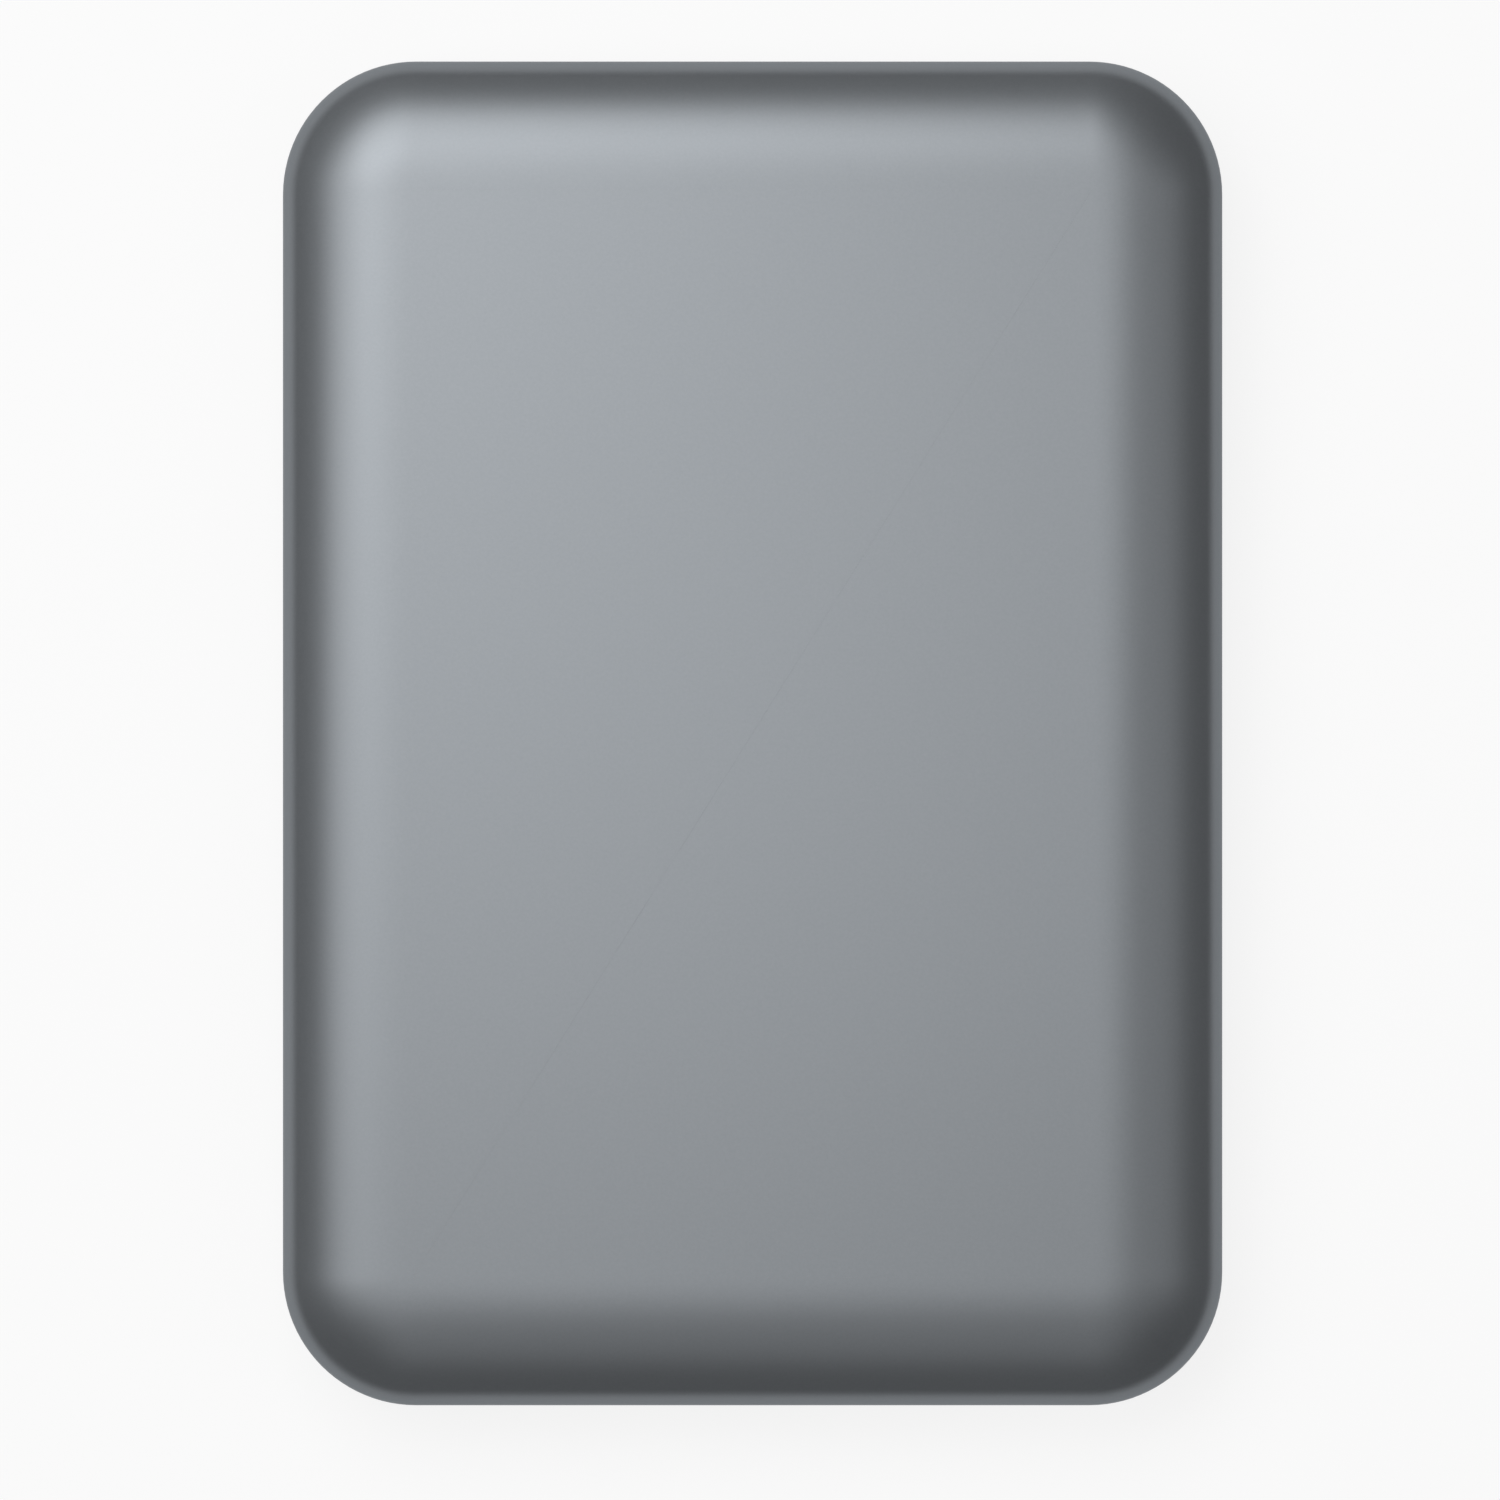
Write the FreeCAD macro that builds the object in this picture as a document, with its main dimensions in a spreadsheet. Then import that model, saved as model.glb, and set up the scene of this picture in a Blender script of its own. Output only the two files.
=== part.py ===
import FreeCAD, Part
import math
import os
import re
import Sketcher

# A portable external hard drive: a two-part moulded case with pillow edges, the rubber
# mounts and bridge electronics inside it, and the 2.5 inch drive that they hold.
# X is the width, Y the length with the connector end at +Y, and Z is up from the feet.

Vector = FreeCAD.Vector
Rule = Sketcher.Constraint

# Driving dimensions, in millimetres and degrees.
SIZES = {
    # Case: its height over everything, and the room that it leaves round the drive.
    "case_height": 14.8,
    "side_room": 3.775,
    "rear_room": 4.2,
    "front_room": 7.45,
    "corner_radius": 10.8,
    "crown_radius": 18.0,       # wide arc that runs out level into the flat top
    "edge_radius": 5.0,         # tighter arc from there to the upright side
    "wall": 1.5,
    "split_height": 6.6,
    "base_bevel": 2.4,
    "seam_step": 0.15,          # how far the lower shell stands back at the seam
    "fit_gap": 0.1,
    "clip_rise": 1.5,
    "clip_root": 2.0,
    "clip_thickness": 0.9,
    "clip_length": 10.0,
    "clip_spacing": 56.0,
    "bead_bulge": 0.3,
    "bead_height": 0.4,
    "bead_drop": 0.3,           # from the clip's top to its bead
    "foot_length": 12.0,
    "foot_width": 6.0,
    "foot_bevel": 1.5,
    "foot_stand": 0.4,
    "foot_inset": 13.0,
    "rib_thickness": 1.0,
    "rib_spacing": 18.0,
    "stop_rib_length": 24.0,
    # Side mounts of the drive.
    "bumper_length": 15.0,
    "bumper_grip": 6.0,
    "bumper_wall": 1.6,
    "bumper_setback": 5.0,
    # Bridge board and port.
    "bridge_width": 58.0,
    "bridge_thickness": 1.0,
    "bridge_end_gap": 0.8,
    "bridge_drop": 3.3,         # drive connector's centre above the bridge board's underside
    "post_size": 3.0,
    "post_spacing": 40.0,
    "port_offset": 21.0,
    "port_recess": 0.4,
    "port_gap": 0.35,
    "port_depth": 6.2,
    "port_sheet": 0.25,
    "port_half": 5.85,          # half of the mouth's width
    "port_mouth": 1.85,
    "port_bevel": 0.55,
    "port_key": 1.2,            # where the notch between the two contact bays lies
    "tongue_thickness": 0.6,
    "tongue_recess": 0.9,
    "tongue_root": 1.2,
    "contact_width": 0.32,
    "contact_pitch": 0.65,
    "contact_thickness": 0.08,
    "led_offset": 6.0,
    "led_length": 1.6,
    "led_height": 0.6,
    "pipe_width": 2.4,
    "pipe_thickness": 0.9,
    "chip_height": 0.9,
    "chip_width": 4.7,
    "chip_length": 2.7,
    "part_length": 0.9,
    "part_width": 0.45,
    "part_pitch": 2.2,
    "foil_thickness": 0.1,
    "foil_width": 13.0,
    "foil_lap": 10.0,
    # Drive body.
    "drive_height": 7.0,
    "drive_corner": 2.5,
    "drive_lift": 1.2,
    "bowl_wall": 1.625,
    "rear_wall": 1.1,
    "casting_wall": 1.6,
    "front_wall": 8.8,
    "bay_corner": 4.0,
    "deck_height": 2.2,
    "cover_thickness": 0.5,
    "cover_inset": 0.2,
    "cover_field": 6.0,
    "cover_raise": 0.3,
    "cover_drop": 0.35,         # depth of the lid's edge below the drive's full height
    "gasket_thickness": 0.3,
    "gasket_inset": 0.9,
    "gasket_width": 0.6,
    # Controller board and drive connector.
    "board_width": 54.0,
    "board_length": 35.0,
    "board_thickness": 0.8,
    "board_recess": 1.4,
    "board_gap": 0.4,
    "film_thickness": 0.1,
    "film_width": 44.0,
    "film_length": 26.0,
    "drive_chip": 0.45,
    "main_chip_size": 10.8,
    "memory_chip_width": 8.1,
    "memory_chip_length": 5.9,
    "motor_chip_size": 6.3,
    "chip_spacing": 18.0,
    "chip_setback": 11.5,
    "motor_chip_ahead": 8.8,
    "sata_offset": -8.0,
    "sata_half": 20.0,
    "sata_height": 3.1,         # blade centre above the drive's underside
    "sata_depth": 3.9,
    "sata_back": 2.5,
    "blade_thickness": 1.2,
    "blade_signal": 9.0,
    "blade_power": 20.0,
    "blade_space": 2.4,
    "blade_key": 0.9,
    "socket_wall": 0.5,
    "socket_depth": 2.5,
    "guide_width": 1.5,
    "guide_height": 2.4,
    "notch_gap": 1.0,
    # Spindle and disc.
    "platter_radius": 32.5,
    "platter_bore": 10.0,
    "platter_thickness": 0.635,
    "platter_lift": 1.6,
    "platter_gap": 0.8,
    "well_radius": 10.2,
    "well_depth": 1.3,
    "shaft_radius": 1.5,
    "bearing_gap": 0.03,
    "press_gap": 0.02,
    "sleeve_radius": 3.0,
    "sleeve_height": 2.0,
    "core_radius": 4.7,
    "tooth_radius": 7.2,
    "tooth_width": 1.2,
    "tooth_thickness": 0.8,
    "tooth_lift": 0.45,
    "coil_wrap": 0.35,
    "coil_length": 1.6,
    "air_gap": 0.4,
    "rotor_magnet_width": 1.0,
    "rotor_magnet_height": 1.4,
    "hub_plate": 0.7,
    "hub_flange": 12.2,
    "clamp_radius": 11.8,
    "clamp_thickness": 0.45,
    # Head actuator.
    "pivot_gap": 2.9,           # from the disc's rim to the barrel
    "park_gap": 1.8,            # from the disc's rim to the parked heads
    "swing": 33.0,
    "barrel_radius": 5.4,
    "bearing_radius": 3.6,
    "pivot_radius": 2.0,
    "arm_reach": 26.0,
    "arm_root": 9.0,
    "arm_tip": 4.4,
    "arm_thickness": 0.6,
    "head_reach": 33.5,
    "tab_length": 3.3,
    "suspension_thickness": 0.15,
    "suspension_lap": 4.0,
    "slider_length": 1.2,
    "slider_width": 1.0,
    "spring_neck": 1.4,
    "spring_tab": 0.6,
    "slider_height": 0.3,
    "head_gap": 0.3,
    "coil_inner": 7.4,
    "coil_outer": 15.4,
    "coil_half_angle": 25.0,
    "coil_strand": 2.3,
    "coil_height": 0.9,
    "prong_width": 1.4,
    "yoke_inner": 6.2,
    "yoke_outer": 18.2,
    "yoke_half_angle": 40.0,
    "yoke_thickness": 0.6,
    "yoke_side_gap": 1.625,
    "yoke_front_gap": 0.45,
    "magnet_inner": 7.0,
    "magnet_outer": 16.2,
    "magnet_half_angle": 34.0,
    "magnet_thickness": 0.6,
    "magnet_gap": 0.25,
    "yoke_post_depth": 1.0,
    "yoke_post_width": 2.0,
    "yoke_post_gap": 0.3,
    "yoke_post_angle": 34.0,
    "stop_length": 3.0,
    "stop_width": 2.0,
    "stop_reach": 14.0,
    "stop_gap": 0.3,
    "stop_height": 2.9,
    "ramp_offset": 1.5,         # from the heads to the ramp
    "ramp_width": 2.6,
    "ramp_foot_angle": 6.0,
    "ramp_finger_angle": 12.0,
    "ramp_behind_angle": 4.0,
    "ramp_gap": 0.06,
    "ramp_slot": 0.25,
    "flex_radius": 6.2,
    "flex_thickness": 0.12,
    "flex_width": 2.2,
    "flex_angle": 115.0,
    "flex_gap": 0.1,
    "bracket_length": 4.0,
    "bracket_width": 2.4,
    "filter_length": 7.0,
    "filter_width": 2.0,
    "filter_height": 3.0,
    "filter_turn": 40.0,
}

# Levels and places that follow from the driving dimensions. The crown's two arcs touch, so the
# level where they end on the upright side follows from their radii. The crown's run is the corner
# radius, so that each corner turns about one axis. The drive is as large as the disc, the arm
# and the coil motor in it need, and the case is as large as the drive needs.
LAYOUT = {
    "bowl_radius": "platter_radius+platter_gap",
    "drive_width": "2*(bowl_radius+bowl_wall)",
    "drive_side": "drive_width/2",
    "bay_half": "drive_side-casting_wall",
    "spindle_setback": "bowl_radius+rear_wall",
    "pivot_distance": "platter_radius+pivot_gap+barrel_radius",
    "pivot_across": "bay_half-yoke_side_gap-yoke_outer",
    "pivot_ahead": "sqrt(pivot_distance^2-pivot_across^2)",
    "drive_length": "spindle_setback+pivot_ahead+yoke_outer+yoke_front_gap+front_wall",
    "case_width": "drive_width+2*(side_room+wall)",
    "case_length": "drive_length+rear_room+front_room+2*wall",
    "half_width": "case_width/2",
    "half_length": "case_length/2",
    "crown_rise": "case_height-split_height",
    "crown_run": "corner_radius",
    "crown_lean": "(crown_run-edge_radius)/(crown_radius-edge_radius)",
    "crown_slant": "sqrt(1-crown_lean^2)",
    "crown_foot": "case_height-crown_radius+(crown_radius-edge_radius)*crown_slant",
    "floor_top": "foot_stand+wall",
    "ceiling": "case_height-wall",
    "drive_bottom": "floor_top+drive_lift",
    "drive_top": "drive_bottom+drive_height",
    "drive_rear": "wall+rear_room-half_length",
    "drive_front": "drive_rear+drive_length",
    "drive_middle": "(drive_front+drive_rear)/2",
    "cover_top": "drive_top-cover_drop",
    "cover_seat": "cover_top-cover_thickness",
    "rim_top": "cover_seat-gasket_thickness",
    "deck_top": "drive_bottom+deck_height",
    "board_top": "drive_bottom+board_recess-film_thickness",
    "board_bottom": "board_top-board_thickness",
    "board_front": "drive_front-sata_depth",
    "board_rear": "board_front-board_length",
    "bay_front": "drive_front-front_wall",
    "sata_level": "drive_bottom+sata_height",
    "blade_half": "(blade_signal+blade_space+blade_power)/2",
    "nose_half": "blade_half+2*socket_wall",
    "nose_bottom": "sata_level-blade_thickness/2-socket_wall",
    "nose_top": "sata_level+blade_thickness/2+socket_wall",
    "nose_front": "board_front+board_gap",
    "bridge_bottom": "sata_level-bridge_drop",
    "bridge_top": "bridge_bottom+bridge_thickness",
    "bridge_front": "half_length-wall-bridge_end_gap",
    "bridge_rear": "drive_front+board_gap",
    "bridge_middle": "(bridge_front+bridge_rear)/2",
    "port_front": "half_length-port_recess",
    "port_back": "port_front-port_depth",
    "pipe_level": "bridge_top+(led_height-pipe_thickness)/2",
    "pipe_front": "half_length-seam_step-fit_gap",
    "port_floor": "bridge_top+port_sheet",
    "port_top": "port_floor+port_mouth+port_sheet",
    "tongue_level": "port_floor+(port_mouth-tongue_thickness)/2",
    "spindle_ahead": "drive_rear+spindle_setback",
    "platter_bottom": "deck_top+platter_lift",
    "platter_top": "platter_bottom+platter_thickness",
    "well_floor": "deck_top-well_depth",
    "magnet_ring": "tooth_radius+air_gap",
    "hub_under": "platter_bottom-hub_plate",
    "hub_top": "platter_top-fit_gap",
    "pivot_level": "spindle_ahead+pivot_ahead",
    "spindle_bearing": "180+atan(pivot_ahead/pivot_across)/(1 deg)",
    "park_cosine": "(pivot_distance^2+head_reach^2-(platter_radius+park_gap)^2)"
                   "/(2*pivot_distance*head_reach)",
    "park_angle": "spindle_bearing-acos(park_cosine)/(1 deg)",
    "lower_head": "platter_bottom-head_gap-slider_height",
    "upper_head": "platter_top+head_gap+slider_height",
    "lower_arm": "lower_head-suspension_thickness-arm_thickness",
    "upper_arm": "upper_head+suspension_thickness",
    "barrel_height": "upper_arm+arm_thickness-lower_arm",
    "coil_level": "deck_top+yoke_thickness+magnet_thickness+magnet_gap",
    "upper_magnet_level": "coil_level+coil_height+magnet_gap",
    "upper_yoke_level": "upper_magnet_level+magnet_thickness",
    "tail_angle": "park_angle-180",
    "prong_outer": "coil_outer+fit_gap+prong_width/2",
    "prong_half_angle": "coil_half_angle+6",
    "yoke_angle": "tail_angle+swing/2",
    "stop_half_angle": "prong_half_angle+asin((stop_width/2+stop_gap)/(stop_reach-stop_length/2))/(1 deg)",
    "tab_reach": "head_reach+tab_length",
    "ramp_inner": "head_reach+ramp_offset",
    "ramp_outer": "ramp_inner+ramp_width",
    "ramp_top": "upper_head-ramp_gap",
    "ramp_bottom": "lower_head+ramp_gap",
    "flex_across": "pivot_across+(barrel_radius+flex_gap)*cos(flex_angle)-flex_radius",
    "flex_along": "pivot_level+(barrel_radius+flex_gap)*sin(flex_angle)",
}

document = FreeCAD.newDocument("PortableDrive")


def full(text, own=False):
    """Write out which sheet each named size in an expression comes from."""
    def with_sheet(match):
        word = match.group(0)
        if word in SIZES:
            return "Sizes." + word
        if word in LAYOUT and not own:
            return "Layout." + word
        return word
    return re.sub(r"[a-z_]+", with_sheet, text)


def make_sheet(name, cells):
    """A sheet with one named cell for each size."""
    sheet = document.addObject("Spreadsheet::Sheet", name)
    for row, (alias, content) in enumerate(cells.items(), start=1):
        sheet.set(f"A{row}", alias)
        sheet.set(f"B{row}", content)
        sheet.setAlias(f"B{row}", alias)
    document.recompute()
    return sheet


sizes = make_sheet("Sizes", {alias: str(size) for alias, size in SIZES.items()})
layout = make_sheet("Layout", {alias: "=" + full(text, own=True) for alias, text in LAYOUT.items()})


def value(text):
    """The number that an expression has now."""
    return float(sizes.evalExpression(full(text)))


def bind(item, expressions):
    """Tie properties of an object to the sheets."""
    for path, text in expressions.items():
        item.setExpression(path, full(text))


def place(item, at, turn="0"):
    """Put an object at a point, turned about the upright axis."""
    x, y, z = at
    bind(item, {"Placement.Base.x": x, "Placement.Base.y": y, "Placement.Base.z": z})
    if turn != "0":
        bind(item, {"Placement.Rotation.Angle": turn})
    return item


def block(name, size, at, turn="0"):
    """A box whose base is centred on a point."""
    wide, deep, high = size
    x, y, z = at
    item = document.addObject("Part::Box", name)
    bind(item, {"Length": wide, "Width": deep, "Height": high})
    corner_x = f"({x})-(({wide})/2*cos({turn})-({deep})/2*sin({turn}))"
    corner_y = f"({y})-(({wide})/2*sin({turn})+({deep})/2*cos({turn}))"
    return place(item, (corner_x, corner_y, z), turn)


def rod(name, radius, height, at):
    """An upright cylinder standing on a point."""
    item = document.addObject("Part::Cylinder", name)
    bind(item, {"Radius": radius, "Height": height})
    return place(item, at)


def sector(name, radii, angles, height, at):
    """A piece of a flat ring: its inner and outer radius, its first angle and its sweep."""
    inner, outer = radii
    start, sweep = angles
    wedge = rod(name + "_wedge", outer, height, at)
    bind(wedge, {"Angle": sweep, "Placement.Rotation.Angle": start})
    return cut(name, wedge, rod(name + "_eye", inner, height, at))


def fuse(name, *items):
    """Pieces joined into one solid."""
    joined = document.addObject("Part::MultiFuse", name)
    joined.Shapes = list(items)
    joined.Refine = True
    return joined


def group(name, items):
    """Like pieces kept as separate solids under one name."""
    together = document.addObject("Part::Compound", name)
    together.Links = list(items)
    return together


def cut(name, base, *tools):
    """A solid less one or more others."""
    result = document.addObject("Part::Cut", name)
    result.Base = base
    result.Tool = tools[0] if len(tools) == 1 else group(name + "_tools", tools)
    return result


def new_body(name, at=None, turn="0"):
    """An empty body, moved to its place where one is given."""
    body = document.addObject("PartDesign::Body", name)
    if at:
        place(body, at, turn)
    return body


def new_sketch(body, name, role="XY_Plane", offset=("0", "0", "0")):
    """A sketch on one of the body's own planes, moved within and off that plane."""
    plane = next(item for item in body.Origin.OriginFeatures if item.Role == role)
    sketch = body.newObject("Sketcher::SketchObject", f"{body.Name}_{name}")
    sketch.AttachmentSupport = [(plane, "")]
    sketch.MapMode = "FlatFace"
    bind(sketch, {f"AttachmentOffset.Base.{axis}": text for axis, text in zip("xyz", offset)})
    return sketch


def dimension(sketch, name, rule, text):
    """Add one dimension to a sketch and tie it to the sheets."""
    sketch.renameConstraint(sketch.addConstraint(rule), name)
    bind(sketch, {"Constraints." + name: text})


def line(x0, y0, x1, y1):
    """A straight edge of a sketch."""
    return Part.LineSegment(Vector(x0, y0, 0), Vector(x1, y1, 0))


def draw_polygon(sketch, points):
    """A closed outline of straight edges, each corner placed by two dimensions."""
    spots = [(value(x), value(y)) for x, y in points]
    count = len(points)
    sketch.addGeometry([line(*spots[i], *spots[(i + 1) % count]) for i in range(count)], False)
    sketch.addConstraint([Rule("Coincident", i, 2, (i + 1) % count, 1) for i in range(count)])
    for i, (x, y) in enumerate(points):
        dimension(sketch, f"across_{i}", Rule("DistanceX", -1, 1, i, 1, spots[i][0]), x)
        dimension(sketch, f"along_{i}", Rule("DistanceY", -1, 1, i, 1, spots[i][1]), y)
    return sketch


def draw_circle(sketch, radius, x="0", y="0"):
    """A circle about a point of the sketch."""
    centre = Vector(value(x), value(y), 0)
    index = sketch.addGeometry(Part.Circle(centre, Vector(0, 0, 1), value(radius)), False)
    dimension(sketch, f"radius_{index}", Rule("Radius", index, value(radius)), radius)
    dimension(sketch, f"across_{index}", Rule("DistanceX", -1, 1, index, 3, centre.x), x)
    dimension(sketch, f"along_{index}", Rule("DistanceY", -1, 1, index, 3, centre.y), y)
    return sketch


def draw_rounded(sketch, width, length, corner):
    """A rounded rectangle about the sketch's origin that starts at the middle of its right side."""
    x = value(width) / 2
    y = value(length) / 2
    r = value(corner)

    def arc(cx, cy, quarter):
        circle = Part.Circle(Vector(cx, cy, 0), Vector(0, 0, 1), r)
        return Part.ArcOfCircle(circle, quarter * math.pi / 2, (quarter + 1) * math.pi / 2)

    sketch.addGeometry([
        line(x, 0, x, y - r), arc(x - r, y - r, 0),
        line(x - r, y, -x + r, y), arc(-x + r, y - r, 1),
        line(-x, y - r, -x, -y + r), arc(-x + r, -y + r, 2),
        line(-x + r, -y, x - r, -y), arc(x - r, -y + r, 3),
        line(x, -y + r, x, 0)], False)
    sketch.addConstraint([Rule("Tangent", i, 2, i + 1, 1) for i in range(8)])
    sketch.addConstraint([
        Rule("Coincident", 8, 2, 0, 1), Rule("Vertical", 0), Rule("Horizontal", 2),
        Rule("Vertical", 4), Rule("Horizontal", 6), Rule("Vertical", 8),
        Rule("Equal", 1, 3), Rule("Equal", 3, 5), Rule("Equal", 5, 7),
        Rule("PointOnObject", 0, 1, -1), Rule("Symmetric", 2, 2, 6, 2, -1, 1)])
    dimension(sketch, "width", Rule("DistanceX", 4, 1, 0, 1, 2 * x), width)
    dimension(sketch, "length", Rule("DistanceY", 6, 1, 2, 1, 2 * y), length)
    dimension(sketch, "corner", Rule("Radius", 1, r), corner)
    return sketch


def extrude(body, kind, sketch, length, backwards=False):
    """A pad or a pocket of a sketch."""
    feature = body.newObject("PartDesign::" + kind, f"{sketch.Name}_{kind}")
    feature.Profile = sketch
    bind(feature, {"Length": length})
    feature.Reversed = backwards
    return feature


def plate(name, points, thickness, level, at=None, turn="0"):
    """A flat piece with a straight-edged outline, its underside at a level."""
    body = new_body(name, at, turn)
    outline = draw_polygon(new_sketch(body, "outline", offset=("0", "0", level)), points)
    extrude(body, "Pad", outline, thickness)
    return body


def section(name, points, depth, back):
    """A bar with a section drawn across the width, that runs towards +Y from its back."""
    body = new_body(name)
    profile = draw_polygon(new_sketch(body, "section", "XZ_Plane", ("0", "0", f"-({back})")), points)
    extrude(body, "Pad", profile, depth, backwards=True)
    return body


def turned(name, points, at):
    """A turned piece: a section of radius and height, spun about an upright axis."""
    body = new_body(name, at)
    profile = draw_polygon(new_sketch(body, "section", "XZ_Plane"), points)
    spin = body.newObject("PartDesign::Revolution", name + "_spin")
    spin.Profile = profile
    spin.ReferenceAxis = (profile, ["V_Axis"])
    spin.Angle = 360
    return body


def ring(name, inner, outer, height, at):
    """A plain upright ring."""
    return turned(name, [(inner, "0"), (outer, "0"), (outer, height), (inner, height)], at)


def bevelled(width, length, bevel):
    """Corner points of a rectangle with its corners cut off."""
    points = []
    for x, y in ((1, -1), (1, 1), (-1, 1), (-1, -1)):
        by_side = (f"({x})*({width})/2", f"({y})*(({length})/2-{bevel})")
        by_end = (f"({x})*(({width})/2-{bevel})", f"({y})*({length})/2")
        points += [by_side, by_end] if x * y > 0 else [by_end, by_side]
    return points


def case_outline(body, name, inset, level):
    """The case's rounded outline, drawn in from the side walls."""
    sketch = new_sketch(body, name, offset=("0", "0", level))
    return draw_rounded(sketch, f"case_width-2*({inset})", f"case_length-2*({inset})",
                        f"corner_radius-({inset})")


def trim_edge(body, spine, profile):
    """Sweep a section round an outline and take it away."""
    sweep = body.newObject("PartDesign::SubtractivePipe", body.Name + "_edge")
    sweep.Profile = profile
    sweep.Spine = (spine, [])
    return sweep


def top_hollow():
    """Space under the crown, bounded by two flats that stay one wall or more inside the skin."""
    body = new_body("top_hollow")
    spine = case_outline(body, "outline", "wall", "split_height")
    extrude(body, "Pad", spine, "crown_rise-wall")
    flat, inner = "half_width-crown_run", "(edge_radius-wall)"
    sketch = new_sketch(body, "edge_section", "XZ_Plane")
    trim_edge(body, spine, draw_polygon(sketch, [
        ("half_width-wall", "split_height"),
        (f"half_width-edge_radius+{inner}*crown_lean", f"crown_foot+{inner}*crown_slant"),
        (flat, "ceiling"), (flat, "case_height"),
        ("half_width", "case_height"), ("half_width", "split_height")]))
    return body


def bevel_below(body, feature, level, size):
    """Bevel the lowest edges of a body."""
    document.recompute()
    edges = [f"Edge{number}" for number, edge in enumerate(feature.Shape.Edges, start=1)
             if edge.BoundBox.ZMax < value(level) + value("seam_step")]
    bevel = body.newObject("PartDesign::Chamfer", body.Name + "_bevel")
    bevel.Base = (feature, edges)
    bind(bevel, {"Size": size})
    return body


def tray_block(name, inset, floor, bevel):
    """A block from the seam down to a floor, with the case's outline and a bevel round its floor."""
    body = new_body(name)
    outline = case_outline(body, "outline", inset, "split_height")
    pad = extrude(body, "Pad", outline, f"split_height-({floor})", backwards=True)
    return bevel_below(body, pad, floor, bevel)


# Top shell: a moulded dome whose edge is swept round the outline, hollowed to one wall, with
# recesses for the lower shell's clips and ribs that hold the drive down.

def top_skin():
    body = new_body("top_skin")
    spine = case_outline(body, "outline", "0", "split_height")
    extrude(body, "Pad", spine, "crown_rise")
    sketch = new_sketch(body, "crown_section", "XZ_Plane")
    side, foot, top = value("half_width"), value("crown_foot"), value("case_height")
    run, margin = value("crown_run"), value("wall")
    wide, tight = value("crown_radius"), value("edge_radius")
    touch = math.acos(value("crown_lean"))
    edge = Part.Circle(Vector(side - tight, foot, 0), Vector(0, 0, 1), tight)
    crown = Part.Circle(Vector(side - run, top - wide, 0), Vector(0, 0, 1), wide)
    sketch.addGeometry([
        Part.ArcOfCircle(edge, 0, touch),
        Part.ArcOfCircle(crown, touch, math.pi / 2),
        line(side - run, top, side - run, top + margin),
        line(side - run, top + margin, side + margin, top + margin),
        line(side + margin, top + margin, side + margin, foot),
        line(side + margin, foot, side, foot)], False)
    sketch.addConstraint([Rule("Coincident", i, 2, (i + 1) % 6, 1) for i in range(1, 6)])
    sketch.addConstraint([
        Rule("Vertical", 2), Rule("Horizontal", 3), Rule("Vertical", 4), Rule("Horizontal", 5),
        Rule("Horizontal", 0, 3, 0, 1), Rule("Vertical", 1, 3, 1, 2), Rule("Tangent", 0, 2, 1, 1)])
    dimension(sketch, "side", Rule("DistanceX", -1, 1, 0, 1, side), "half_width")
    dimension(sketch, "top", Rule("DistanceY", -1, 1, 1, 2, top), "case_height")
    dimension(sketch, "run", Rule("DistanceX", 1, 2, 0, 1, run), "crown_run")
    dimension(sketch, "edge", Rule("Radius", 0, tight), "edge_radius")
    dimension(sketch, "crown", Rule("Radius", 1, wide), "crown_radius")
    dimension(sketch, "above", Rule("DistanceY", 2, 1, 2, 2, margin), "wall")
    dimension(sketch, "beside", Rule("DistanceX", 5, 2, 5, 1, margin), "wall")
    trim_edge(body, spine, sketch)
    return body


def clips(name, extra):
    """Snap clips that stand on the lower shell's long sides, or the recesses that take them."""
    items = []
    for side, way in (("left", "-1"), ("right", "1")):
        for end, along in (("rear", "-1"), ("front", "1")):
            ahead = f"({along})*clip_spacing/2"
            across = f"({way})*(half_width-wall-clip_thickness/2)"
            items.append(block(
                f"{name}_{side}_{end}",
                (f"clip_thickness+2*{extra}", f"clip_length+2*{extra}",
                 f"clip_root+clip_rise+{extra}"),
                (across, ahead, "split_height-clip_root")))
            across = f"({way})*(half_width-wall-(clip_thickness-bead_bulge)/2)"
            items.append(block(
                f"{name}_bead_{side}_{end}",
                (f"clip_thickness+bead_bulge+2*{extra}", f"clip_length+2*{extra}",
                 f"bead_height+2*{extra}"),
                (across, ahead, f"split_height+clip_rise-bead_drop-bead_height-{extra}")))
    return items


hold_down_ribs = [
    block(f"hold_down_rib_{side}", ("rib_thickness", "drive_length/2", "ceiling-drive_top-fit_gap"),
          (f"({way})*rib_spacing/2", "drive_middle", "drive_top+fit_gap"))
    for side, way in (("left", "-1"), ("right", "1"))]
top_cavity = cut("top_cavity", top_hollow(), *hold_down_ribs)
top_shell = cut("top_shell", top_skin(), top_cavity, *clips("catch", "fit_gap"))

# Bottom shell: a plainer tray with a bevelled lower edge, clips that snap into the top shell,
# posts that carry the bridge board and a rib that stops the drive at the back. Its front wall
# has a notch for the port, which the top shell closes, and a window for the light.

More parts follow.
